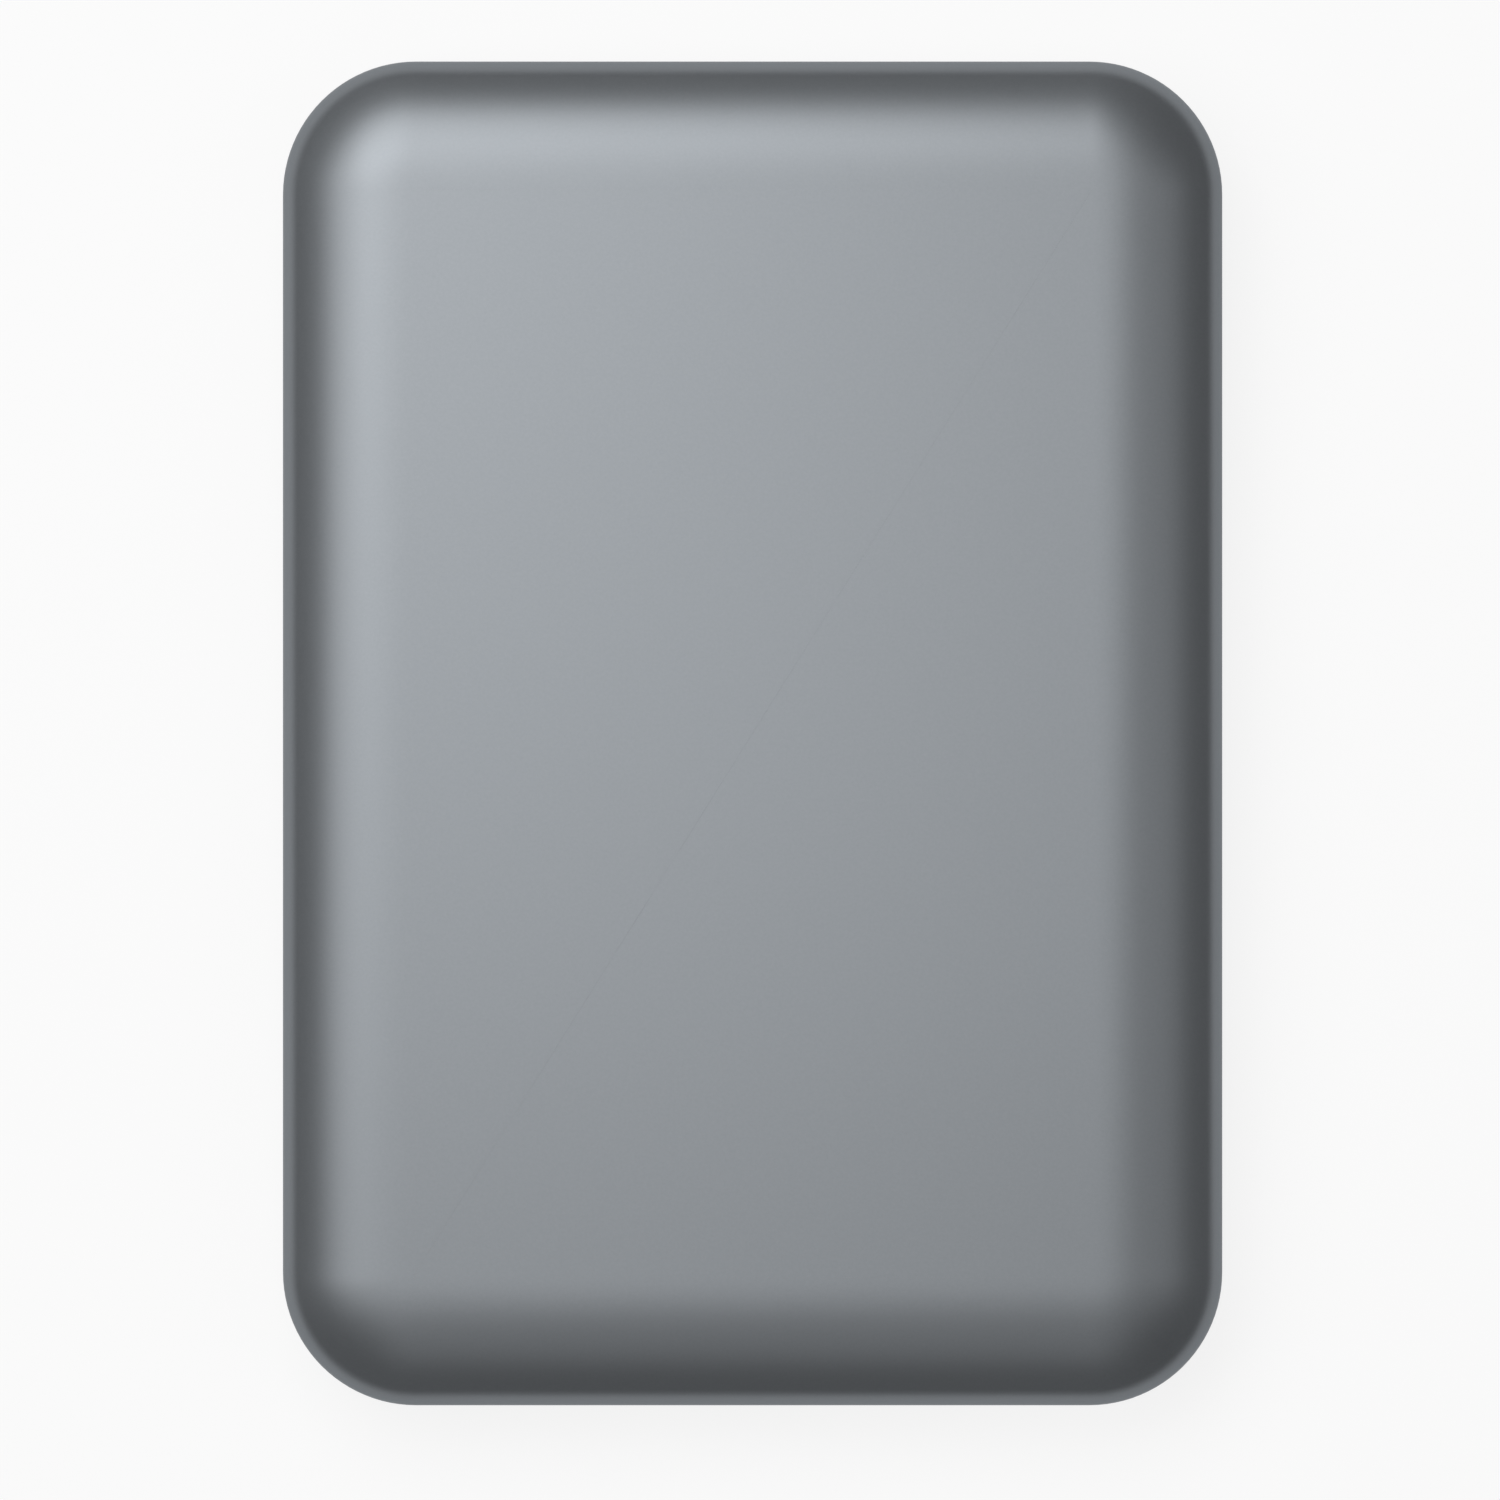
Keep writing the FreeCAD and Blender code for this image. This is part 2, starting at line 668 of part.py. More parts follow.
notch_left = "port_offset-port_half-port_sheet-port_gap"
notch_right = "port_offset+port_half+port_sheet+port_gap"
notch_low = "port_floor-port_sheet-port_gap"
port_notch = section("port_notch", [
    (f"{notch_left}+port_bevel", notch_low), (f"{notch_right}-port_bevel", notch_low),
    (notch_right, f"{notch_low}+port_bevel"), (notch_right, "split_height+wall"),
    (notch_left, "split_height+wall"), (notch_left, f"{notch_low}+port_bevel")],
    "2*wall", "half_length-2*wall")
light_window = block("light_window", ("pipe_width+fit_gap", "2*wall", "pipe_thickness+fit_gap"),
                     ("led_offset", "half_length-wall", "pipe_level-fit_gap/2"))
board_posts = [
    block(f"board_post_{side}", ("post_size", "post_size", "bridge_bottom-floor_top"),
          (f"({way})*post_spacing/2", "bridge_middle", "floor_top"))
    for side, way in (("left", "-1"), ("right", "1"))]
stop_rib = block("stop_rib", ("stop_rib_length", "rib_thickness", "split_height-floor_top"),
                 ("0", "drive_rear-fit_gap-rib_thickness/2", "floor_top"))
tray_hollow = tray_block("tray_hollow", "wall", "floor_top", "base_bevel-wall*(2-sqrt(2))")
tray_space = cut("tray_space", tray_hollow, stop_rib, *board_posts)
tray_outside = tray_block("tray_outside", "seam_step", "foot_stand", "base_bevel")
tray = cut("tray", tray_outside, tray_space, port_notch, light_window)
bottom_shell = fuse("bottom_shell", tray, *clips("clip", "0"))


def foot(name, across, along):
    """A rubber pad with bevelled corners, glued under one corner of the tray."""
    return plate(name, bevelled("foot_width", "foot_length", "foot_bevel"), "foot_stand", "0",
                 (f"({across})*(half_width-foot_inset)", f"({along})*(half_length-foot_inset)", "0"))


rubber_feet = group("rubber_feet", [
    foot(f"foot_{number}", across, along)
    for number, (across, along) in enumerate(((-1, -1), (-1, 1), (1, -1), (1, 1)), start=1)])

# Side mounts: four soft rubber angles that lie under the drive's long edges and stand beside them.


def bumper(name, way, ahead):
    """A rubber angle in section, drawn on one side of the case."""
    inside, outside = "drive_side-bumper_grip", "drive_side+fit_gap+bumper_wall"
    low, shelf, high = "floor_top", "drive_bottom-fit_gap", "cover_top"
    return section(name, [(f"({way})*({x})", z) for x, z in (
        (inside, low), (outside, low), (outside, high), ("drive_side+fit_gap", high),
        ("drive_side+fit_gap", shelf), (inside, shelf))], "bumper_length", ahead)


bumpers = [
    bumper(f"bumper_{end}_{side}", way, ahead)
    for end, ahead in (("rear", "drive_rear+bumper_setback"),
                       ("front", "drive_front-bumper_setback-bumper_length"))
    for side, way in (("left", "-1"), ("right", "1"))]

# Bridge board: a narrow circuit board across the connector end, carried by two posts.

bridge_board = plate("bridge_board", [
    ("-bridge_width/2", "bridge_rear"), ("bridge_width/2", "bridge_rear"),
    ("bridge_width/2", "bridge_front-bridge_end_gap"), ("bridge_width/2-bridge_end_gap", "bridge_front"),
    ("-bridge_width/2+bridge_end_gap", "bridge_front"), ("-bridge_width/2", "bridge_front-bridge_end_gap"),
], "bridge_thickness", "bridge_bottom")
bridge_chip = block("bridge_chip", ("chip_width", "chip_length", "chip_height"),
                    ("sata_offset", "bridge_front-chip_length/2-fit_gap", "bridge_top"))
bridge_parts = group("bridge_parts", [
    block(f"bridge_part_{number}", ("part_length", "part_width", "part_width"),
          (f"sata_offset-chip_width-{number}*part_pitch", "bridge_front-part_length", "bridge_top"))
    for number in range(5)])
status_led = block("status_led", ("led_length", "led_length/2", "led_height"),
                   ("led_offset", "bridge_front-led_length/4-fit_gap", "bridge_top"))
light_pipe = block("light_pipe", ("pipe_width", "pipe_front-bridge_front", "pipe_thickness"),
                   ("led_offset", "(pipe_front+bridge_front)/2", "pipe_level"))

# Port: a folded steel shell with two contact bays and a notch between them, an insulator
# that closes its back and carries two tongues, and a row of contacts under each tongue.


def port_section(grow):
    """The mouth's outline, enlarged by a sheet's thickness for the outside."""
    left, right = f"port_offset-port_half-({grow})", f"port_offset+port_half+({grow})"
    low, high = f"port_floor-({grow})", f"port_floor+port_mouth+({grow})"
    notch = "port_offset+port_key"
    return [
        (f"{left}+port_bevel", low), (f"{notch}-port_bevel", low), (notch, f"{low}+port_bevel"),
        (f"{notch}+port_bevel/2", f"{low}+port_bevel"), (f"{notch}+1.5*port_bevel", low),
        (f"{right}-port_bevel", low), (right, f"{low}+port_bevel"), (right, high),
        (left, high), (left, f"{low}+port_bevel")]


usb_receptacle = cut(
    "usb_receptacle",
    section("port_shell_outside", port_section("port_sheet"), "port_depth", "port_back"),
    section("port_shell_inside", port_section("0"), "port_depth", "port_back"))
tongue_length = "(port_depth-tongue_recess-tongue_root/2)"
contact_length = "(port_depth-tongue_root-2*tongue_recess)"
tongues = []
contacts = []
for bay, left, right in (("wide", "port_offset-port_half", "port_offset+port_key-port_bevel"),
                         ("narrow", "port_offset+port_key+port_bevel", "port_offset+port_half")):
    middle = f"(({left})+({right}))/2"
    tongues.append(block(
        f"tongue_{bay}",
        (f"({right})-({left})-3*tongue_thickness", tongue_length, "tongue_thickness"),
        (middle, f"port_front-tongue_recess-{tongue_length}/2", "tongue_level")))
    for number in range(-2, 3):
        contacts.append(block(
            f"contact_{bay}_{number + 3}",
            ("contact_width", contact_length, "contact_thickness"),
            (f"{middle}+({number})*contact_pitch", f"port_back+tongue_root+{contact_length}/2",
             "tongue_level-contact_thickness")))
tongue_block = section("tongue_block", port_section("-press_gap"), "tongue_root", "port_back")
usb_tongue = fuse("usb_tongue", tongue_block, *tongues)
usb_contacts = group("usb_contacts", contacts)

# Drive connector: a plug on the controller board with a signal blade and a power blade, each
# with its hook-shaped key, and the socket on the bridge board that takes them.


def blade_section(left, width, grow):
    """An upright section of one blade: a flat bar with a key at its left end."""
    x0, x1 = f"{left}-({grow})", f"{left}+{width}+({grow})"
    low, high = f"sata_level-blade_thickness/2-({grow})", f"sata_level+blade_thickness/2+({grow})"
    step = f"{left}+blade_key+({grow})"
    return [(x0, f"sata_level-blade_thickness/2-({grow})"), (x1, low), (x1, f"sata_level+({grow})"),
            (step, f"sata_level+({grow})"), (step, high), (x0, high)]


blades = (("signal", "sata_offset-blade_half", "blade_signal"),
          ("power", "sata_offset-blade_half+blade_signal+blade_space", "blade_power"))
plug_guides = [
    block(f"plug_guide_{side}", ("guide_width", "sata_depth-fit_gap+sata_back/2", "guide_height"),
          (f"sata_offset+({way})*(sata_half-guide_width/2)",
           "board_front+(sata_depth-fit_gap-sata_back/2)/2", "sata_level-guide_height/2"))
    for side, way in (("left", "-1"), ("right", "1"))]
plug_back = block("plug_back", ("2*sata_half", "sata_back", "sata_level+guide_height/2-board_top"),
                  ("sata_offset", "board_front-sata_back/2", "board_top"))
plug_blades = [
    section(f"blade_{name}", blade_section(left, width, "0"),
            "sata_depth+sata_back/2", "board_front-sata_back/2")
    for name, left, width in blades]
sata_plug = fuse("sata_plug", plug_back, *plug_blades, *plug_guides)
socket_body = block("socket_body", ("2*sata_half", "socket_depth", "nose_top+socket_wall-bridge_top"),
                    ("sata_offset", "bridge_rear+socket_depth/2+fit_gap", "bridge_top"))
socket_nose = block("socket_nose",
                    ("2*nose_half", "bridge_rear+notch_gap-nose_front", "nose_top-nose_bottom"),
                    ("sata_offset", "(bridge_rear+notch_gap+nose_front)/2", "nose_bottom"))
sata_socket = cut("sata_socket", fuse("socket_block", socket_body, socket_nose), *[
    section(f"slot_{name}", blade_section(left, width, "fit_gap"), "sata_depth+fit_gap", "nose_front-fit_gap")
    for name, left, width in blades])

# Shield foil: a strip that grounds the port's shell to the drive's cover.

foil_path = [("drive_front-cover_field-foil_lap", "cover_top+cover_raise"),
             ("drive_front+fit_gap", "cover_top+cover_raise"),
             ("port_back", "port_top"), ("bridge_front", "port_top")]
shield_foil = new_body("shield_foil")
foil_section = new_sketch(shield_foil, "section", "YZ_Plane", ("0", "0", "port_offset-foil_width/2"))
draw_polygon(foil_section, foil_path + [(y, f"{z}+foil_thickness") for y, z in reversed(foil_path)])
extrude(shield_foil, "Pad", foil_section, "foil_width")

# Base casting: the drive's bowl, with a round pocket for the disc, a squarer bay for the head
# arm, a well for the motor, a recess under it for the controller board and a connector notch.

spindle = ("0", "spindle_ahead")

base_casting = new_body("base_casting")
outline = draw_rounded(new_sketch(base_casting, "outline", offset=("0", "drive_middle", "drive_bottom")),
                       "drive_width", "drive_length", "drive_corner")
extrude(base_casting, "Pad", outline, "rim_top-drive_bottom")
bowl = draw_circle(new_sketch(base_casting, "bowl", offset=("0", "0", "rim_top")), "bowl_radius", *spindle)
extrude(base_casting, "Pocket", bowl, "rim_top-deck_top")
bay = new_sketch(base_casting, "bay", offset=("0", "(bay_front+spindle_ahead)/2", "rim_top"))
draw_rounded(bay, "2*bay_half", "bay_front-spindle_ahead", "bay_corner")
extrude(base_casting, "Pocket", bay, "rim_top-deck_top")
well = draw_circle(new_sketch(base_casting, "well", offset=("0", "0", "deck_top")), "well_radius", *spindle)
extrude(base_casting, "Pocket", well, "well_depth")
recess = new_sketch(base_casting, "board_recess", offset=("0", "0", "drive_bottom"))
draw_polygon(recess, [
    ("-board_width/2-board_gap", "board_rear-board_gap"), ("board_width/2+board_gap", "board_rear-board_gap"),
    ("board_width/2+board_gap", "drive_front+wall"), ("-board_width/2-board_gap", "drive_front+wall")])
extrude(base_casting, "Pocket", recess, "board_recess", backwards=True)
notch = new_sketch(base_casting, "connector_notch", offset=("0", "0", "drive_bottom"))
draw_polygon(notch, [
    ("sata_offset-sata_half-notch_gap", "board_front-sata_back-board_gap"),
    ("sata_offset+sata_half+notch_gap", "board_front-sata_back-board_gap"),
    ("sata_offset+sata_half+notch_gap", "drive_front+wall"),
    ("sata_offset-sata_half-notch_gap", "drive_front+wall")])
extrude(base_casting, "Pocket", notch, "nose_top-drive_bottom+fit_gap", backwards=True)

# Controller board under the casting, with its chips on the outside and a film above it.

controller_board = block("controller_board", ("board_width", "board_length", "board_thickness"),
                         ("0", "(board_front+board_rear)/2", "board_bottom"))
board_insulator = block("board_insulator", ("film_width", "film_length", "film_thickness"),
                        ("0", "(board_front-sata_back+board_rear)/2", "board_top"))
main_chip = block("main_chip", ("main_chip_size", "main_chip_size", "drive_chip"),
                  ("chip_spacing/2", "board_front-chip_setback", "board_bottom-drive_chip"))
memory_chip = block("memory_chip", ("memory_chip_width", "memory_chip_length", "drive_chip"),
                    ("-chip_spacing/2", "board_front-chip_setback", "board_bottom-drive_chip"))
motor_chip = block("motor_chip", ("motor_chip_size", "motor_chip_size", "drive_chip"),
                   ("-chip_spacing/2", "board_rear+motor_chip_ahead", "board_bottom-drive_chip"))

# Drive cover: a stamped lid with a raised field, on a thin gasket.

drive_cover = new_body("drive_cover")
lid = draw_rounded(new_sketch(drive_cover, "lid", offset=("0", "drive_middle", "cover_seat")),
                   "drive_width-2*cover_inset", "drive_length-2*cover_inset", "drive_corner-cover_inset")
extrude(drive_cover, "Pad", lid, "cover_thickness")
field = draw_polygon(
    new_sketch(drive_cover, "field", offset=("0", "drive_middle", "cover_top")),
    bevelled("drive_width-2*cover_field", "drive_length-2*cover_field", "bay_corner"))
extrude(drive_cover, "Pad", field, "cover_raise")
gasket_hole = "gasket_inset+gasket_width"
cover_gasket = cut(
    "cover_gasket",
    block("gasket_outside", ("drive_width-2*gasket_inset", "drive_length-2*gasket_inset", "gasket_thickness"),
          ("0", "drive_middle", "rim_top")),
    block("gasket_inside", (f"drive_width-2*({gasket_hole})", f"drive_length-2*({gasket_hole})",
                            "gasket_thickness"), ("0", "drive_middle", "rim_top")))

# Spindle motor: a fixed sleeve with a wound core round it, and a hub with its shaft that carries
# a ring of magnet poles under its flange and the disc on top of it.


def spoke(radius, angle):
    """A point at a radius and an angle from the spindle's axis."""
    return (f"({radius})*cos({angle})", f"({radius})*sin({angle})")


spindle_sleeve = ring("spindle_sleeve", "shaft_radius+bearing_gap", "sleeve_radius", "sleeve_height",
                      (*spindle, "well_floor"))
core_level = "well_floor+tooth_lift"
TEETH = 9
PITCH = 360 / TEETH
core_points = []
coils = []
for number in range(TEETH):
    angle = f"{PITCH * number}"
    for radius, way in (("core_radius", -1), ("tooth_radius", -1), ("tooth_radius", 1), ("core_radius", 1)):
        x, y = spoke(radius, angle)
        core_points.append((f"{x}-({way})*tooth_width/2*sin({angle})",
                            f"{y}+({way})*tooth_width/2*cos({angle})"))
    x, y = spoke("(core_radius+tooth_radius)/2", angle)
    at = (x, f"spindle_ahead+{y}")
    winding, eye = (
        block(f"{name}_{number}", ("coil_length", f"tooth_width+2*{grow}", f"tooth_thickness+2*{grow}"),
              (*at, f"{core_level}-{grow}"), angle)
        for name, grow in (("winding", "coil_wrap"), ("winding_eye", "press_gap")))
    coils.append(cut(f"stator_coil_{number}", winding, eye))
core_plate = plate("core_plate", core_points, "tooth_thickness", core_level, (*spindle, "0"))
core_bore = rod("core_bore", "sleeve_radius+press_gap", "tooth_thickness", (*spindle, core_level))
stator_core = cut("stator_core", core_plate, core_bore)
stator_coils = group("stator_coils", coils)

spindle_hub = turned("spindle_hub", [
    ("0", "well_floor+fit_gap"), ("shaft_radius", "well_floor+fit_gap"), ("shaft_radius", "hub_under"),
    ("hub_flange", "hub_under"), ("hub_flange", "platter_bottom"),
    ("platter_bore-press_gap", "platter_bottom"), ("platter_bore-press_gap", "hub_top"), ("0", "hub_top"),
], (*spindle, "0"))
POLES = 12


def pole_ring(name, radius):
    """A flat-sided plate round the axis, with one side for each pole."""
    points = [spoke(f"({radius})/cos({180 / POLES})", f"{360 / POLES * pole}") for pole in range(POLES)]
    return plate(name, points, "rotor_magnet_height", "hub_under-rotor_magnet_height", (*spindle, "0"))


rotor_magnet = cut("rotor_magnet", pole_ring("pole_ring_outside", "magnet_ring+rotor_magnet_width"),
                   pole_ring("pole_ring_inside", "magnet_ring"))
platter = ring("platter", "platter_bore", "platter_radius", "platter_thickness", (*spindle, "platter_bottom"))
disc_clamp = rod("disc_clamp", "clamp_radius", "clamp_thickness", (*spindle, "platter_top"))

# Head actuator: two arms on a barrel that turns on a fixed post, with a coil on the tail. The
# swinging pieces are drawn with the heads towards +X and turned to where the heads are parked.

pivot = ("pivot_across", "pivot_level")
pivot_post = rod("pivot_post", "pivot_radius", "upper_arm+arm_thickness-deck_top", (*pivot, "deck_top"))
pivot_sleeve = ring("pivot_sleeve", "pivot_radius+bearing_gap", "bearing_radius", "barrel_height",
                    (*pivot, "lower_arm"))
arm_outline = [("0", "-arm_root/2"), ("arm_reach", "-arm_tip/2"),
               ("arm_reach", "arm_tip/2"), ("0", "arm_root/2")]
arm_parts = [rod("arm_barrel", "barrel_radius", "barrel_height", (*pivot, "lower_arm"))]
for name, level in (("lower", "lower_arm"), ("upper", "upper_arm")):
    arm_parts.append(plate(f"{name}_arm_plate", arm_outline, "arm_thickness", level,
                           (*pivot, "0"), "park_angle"))
for side, way in (("left", "-1"), ("right", "1")):
    near, far = "coil_half_angle+asin(2*fit_gap/coil_outer)/(1 deg)", "prong_half_angle"
    edge = [spoke(radius, f"({way})*({angle})") for radius, angle in (
        ("barrel_radius-fit_gap", far), ("prong_outer", far),
        ("prong_outer", near), ("barrel_radius-fit_gap", near))]
    arm_parts.append(plate(f"coil_prong_{side}", edge, "coil_height", "coil_level",
                           (*pivot, "0"), "tail_angle"))
bore = rod("arm_bore", "bearing_radius+press_gap", "barrel_height", (*pivot, "lower_arm"))
actuator_arm = cut("actuator_arm", fuse("arm_block", *arm_parts), bore)
coil_body = sector("coil_body", ("coil_inner", "coil_outer"),
                   ("tail_angle-coil_half_angle", "2*coil_half_angle"), "coil_height", (*pivot, "coil_level"))
coil_eye = sector("coil_eye", ("coil_inner+coil_strand", "coil_outer-coil_strand"),
                  ("tail_angle-coil_half_angle/2", "coil_half_angle"), "coil_height", (*pivot, "coil_level"))
voice_coil = cut("voice_coil", coil_body, coil_eye)

suspension_outline = [
    ("arm_reach-suspension_lap", "-arm_tip/2"), ("arm_reach", "-arm_tip/2"),
    ("head_reach+slider_length", "-spring_neck/2"), ("tab_reach", "-spring_tab/2"),
    ("tab_reach", "spring_tab/2"), ("head_reach+slider_length", "spring_neck/2"),
    ("arm_reach", "arm_tip/2"), ("arm_reach-suspension_lap", "arm_tip/2")]
slider_outline = [
    ("head_reach-slider_length/2", "-slider_width/2"), ("head_reach+slider_length/2", "-slider_width/2"),
    ("head_reach+slider_length/2", "slider_width/2"), ("head_reach-slider_length/2", "slider_width/2")]
heads = []
for name, spring_level, slider_level in (
        ("lower", "lower_head-suspension_thickness", "lower_head"),
        ("upper", "upper_head", "upper_head-slider_height")):
    heads.append(plate(f"{name}_suspension", suspension_outline, "suspension_thickness", spring_level,
                       (*pivot, "0"), "park_angle"))
    heads.append(plate(f"{name}_slider", slider_outline, "slider_height", slider_level,
                       (*pivot, "0"), "park_angle"))

# Voice coil motor: two steel yokes with a magnet on each, held apart by posts, and two stops.



def fan(name, inner, outer, half_angle, thickness, level):
    """A flat fan-shaped plate behind the pivot, with straight edges."""
    points = [spoke(outer, f"({share})*{half_angle}") for share in ("-1", "-1/3", "1/3", "1")]
    points += [spoke(f"{inner}/cos({half_angle}/2)", f"({share})*{half_angle}") for share in ("1", "0", "-1")]
    return plate(name, points, thickness, level, (*pivot, "0"), "yoke_angle")


yokes = [fan(f"{name}_yoke", "yoke_inner", "yoke_outer", "yoke_half_angle", "yoke_thickness", level)
         for name, level in (("lower", "deck_top"), ("upper", "upper_yoke_level"))]
magnets = [fan(f"{name}_magnet", "magnet_inner", "magnet_outer", "magnet_half_angle",
               "magnet_thickness", level)
           for name, level in (("lower", "deck_top+yoke_thickness"), ("upper", "upper_magnet_level"))]


def behind_pivot(reach, angle, level):
    """A point at a distance and an angle from the pivot."""
    return (f"pivot_across+({reach})*cos({angle})", f"pivot_level+({reach})*sin({angle})", level)


yoke_posts = group("yoke_posts", [
    block(f"yoke_post_{number}",
          ("yoke_post_depth", "yoke_post_width", "upper_yoke_level-deck_top-yoke_thickness"),
          behind_pivot("prong_outer+yoke_post_gap+yoke_post_depth/2", angle, "deck_top+yoke_thickness"),
          angle)
    for number, angle in enumerate(
        ("(yoke_angle-yoke_post_angle)", "yoke_angle", "(yoke_angle+yoke_post_angle)"), start=1)])
crash_stops = group("crash_stops", [
    block(f"crash_stop_{name}", ("stop_length", "stop_width", "stop_height"),
          behind_pivot("stop_reach", angle, "deck_top"), angle)
    for name, angle in (("outer", "(tail_angle-stop_half_angle)"),
                        ("inner", "(tail_angle+swing+stop_half_angle)"))])

# Load ramp: a foot on the casting with a finger that reaches over both sides of the disc's rim.

ramp_radii = ("ramp_inner", "ramp_outer")
ramp_start = "park_angle-ramp_behind_angle"
ramp_foot = sector("ramp_foot_block", ramp_radii, (f"{ramp_start}-ramp_foot_angle", "ramp_foot_angle"),
                   "ramp_top-deck_top", (*pivot, "deck_top"))
ramp_finger = sector("ramp_finger_block", ramp_radii, (f"{ramp_start}-fit_gap", "ramp_finger_angle"),
                     "ramp_top-ramp_bottom", (*pivot, "ramp_bottom"))
disc_slot = rod("disc_slot", "platter_radius+platter_gap/2", "platter_thickness+2*ramp_slot",
                (*spindle, "platter_bottom-ramp_slot"))
load_ramp = cut("load_ramp", fuse("ramp_block", ramp_foot, ramp_finger), disc_slot)

# Flexible circuit: a ribbon on edge that loops from a bracket on the deck to the barrel.

flex_level = "(lower_arm+upper_arm+arm_thickness-flex_width)/2"
head_flex = sector("head_flex", ("flex_radius-flex_thickness", "flex_radius"), ("0", "90"), "flex_width",
                   ("flex_across", "flex_along", flex_level))
flex_bracket = block("flex_bracket", ("bracket_length", "bracket_width", f"{flex_level}+flex_width-deck_top"),
                     ("flex_across-bracket_length/2", "flex_along+flex_radius", "deck_top"))
recirculation_filter = block("recirculation_filter", ("filter_length", "filter_width", "filter_height"),
                             ("-bay_half+filter_length", "bay_front-filter_length", "deck_top"),
                             "filter_turn")

NODES = [
    top_shell, bottom_shell, rubber_feet, *bumpers, light_pipe, shield_foil,
    bridge_board, bridge_chip, bridge_parts, status_led,
    usb_receptacle, usb_tongue, usb_contacts, sata_socket,
    base_casting, drive_cover, cover_gasket,
    controller_board, main_chip, memory_chip, motor_chip, board_insulator, sata_plug,
    spindle_sleeve, stator_core, stator_coils, spindle_hub, rotor_magnet, platter, disc_clamp,
    pivot_post, *yokes, *magnets, yoke_posts, crash_stops, load_ramp, flex_bracket, recirculation_filter,
    actuator_arm, pivot_sleeve, voice_coil, *heads, head_flex,
]

document.recompute()
failed = [item.Label for item in document.Objects if {"Invalid", "Error"} & set(item.State)]
failed += [node.Label for node in NODES if node.Shape.isNull() or not node.Shape.isValid()]
if failed:
    raise RuntimeError("these pieces did not build: " + ", ".join(failed))
os.makedirs("parts", exist_ok=True)
for node in NODES:
    node.Shape.exportStep(f"parts/{node.Label}.step")
print(len(NODES), "pieces")
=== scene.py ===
import math

import bmesh
import bpy
from mathutils import Matrix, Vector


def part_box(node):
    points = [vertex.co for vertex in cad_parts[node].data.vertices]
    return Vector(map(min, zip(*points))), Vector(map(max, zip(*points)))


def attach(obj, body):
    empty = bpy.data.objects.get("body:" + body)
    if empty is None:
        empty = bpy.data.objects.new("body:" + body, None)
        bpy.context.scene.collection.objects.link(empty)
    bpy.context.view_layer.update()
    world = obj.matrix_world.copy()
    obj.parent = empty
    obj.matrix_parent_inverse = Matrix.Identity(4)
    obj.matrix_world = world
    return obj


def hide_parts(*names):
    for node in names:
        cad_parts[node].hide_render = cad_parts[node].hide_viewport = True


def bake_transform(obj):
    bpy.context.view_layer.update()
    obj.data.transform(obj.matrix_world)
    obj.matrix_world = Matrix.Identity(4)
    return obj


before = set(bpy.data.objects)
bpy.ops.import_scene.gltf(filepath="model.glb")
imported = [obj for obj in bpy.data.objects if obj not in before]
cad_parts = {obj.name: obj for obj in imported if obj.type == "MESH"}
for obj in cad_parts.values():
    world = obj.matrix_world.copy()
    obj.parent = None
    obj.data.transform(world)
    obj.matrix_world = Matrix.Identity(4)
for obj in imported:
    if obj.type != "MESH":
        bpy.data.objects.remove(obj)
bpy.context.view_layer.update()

# Lower shell: a shallow tray moulded in black ABS, with a bevel round its floor. Four clips on its
# long sides snap into the upper shell, and its front wall is open for the port and the light.

MM = 0.001
WALL = 1.5 * MM
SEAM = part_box("top_shell")[0].z
TRAY_CORNER = 11.25 * MM
CORNER_STEPS = 24
TRAY_BEVEL = 2.4 * MM
BEVEL_EASE = 0.5 * MM            # rounds the two lines of that bevel
TRAY_EASE = 0.12 * MM            # breaks the sharp edges of the wall
SHARP = math.radians(60)         # edges sharper than this are broken


def box(name, low, high):
    """A new block between two corners, in metres, with its place in its mesh."""
    bpy.ops.object.select_all(action="DESELECT")
    bpy.ops.mesh.primitive_cube_add(
        size=1,
        location=[(a + b) / 2 for a, b in zip(low, high)],
        scale=[b - a for a, b in zip(low, high)],
    )
    bpy.ops.object.transform_apply()
    piece = bpy.context.object
    piece.name = name
    return piece


tray_low, tray_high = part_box("bottom_shell")
tray = box("tray", tray_low, (tray_high.x, tray_high.y, SEAM))


def pick(*pieces):
    """Selects these pieces and nothing else, with the first one active."""
    bpy.ops.object.select_all(action="DESELECT")
    for piece in pieces:
        piece.select_set(True)
    bpy.context.view_layer.objects.active = pieces[0]


def choose(piece, kind, test):
    """Opens a piece in edit mode with only those of its edges or faces selected that pass a test."""
    pick(piece)
    bpy.ops.object.mode_set(mode="EDIT")
    bpy.ops.mesh.select_mode(type="EDGE" if kind == "edges" else "FACE")
    bpy.ops.mesh.select_all(action="DESELECT")
    mesh = bmesh.from_edit_mesh(piece.data)
    for item in getattr(mesh, kind):
        if test(item):
            item.select_set(True)
    mesh.select_flush_mode()
    bmesh.update_edit_mesh(piece.data)


def round_edges(piece, test, radius, steps):
    """Rounds the edges of a piece that pass a test, or bevels them flat with one step."""
    choose(piece, "edges", test)
    bpy.ops.mesh.bevel(offset=radius, segments=steps, profile=0.5, affect="EDGES", clamp_overlap=False)
    bpy.ops.object.mode_set(mode="OBJECT")


SAME = 0.001 * MM                # places closer than this are the same


def upright(edge):
    """Whether an edge stands straight up."""
    a, b = (corner.co for corner in edge.verts)
    return abs(a.x - b.x) + abs(a.y - b.y) < SAME


def level(edge, height):
    """Whether an edge lies at a height."""
    return all(abs(corner.co.z - height) < SAME for corner in edge.verts)


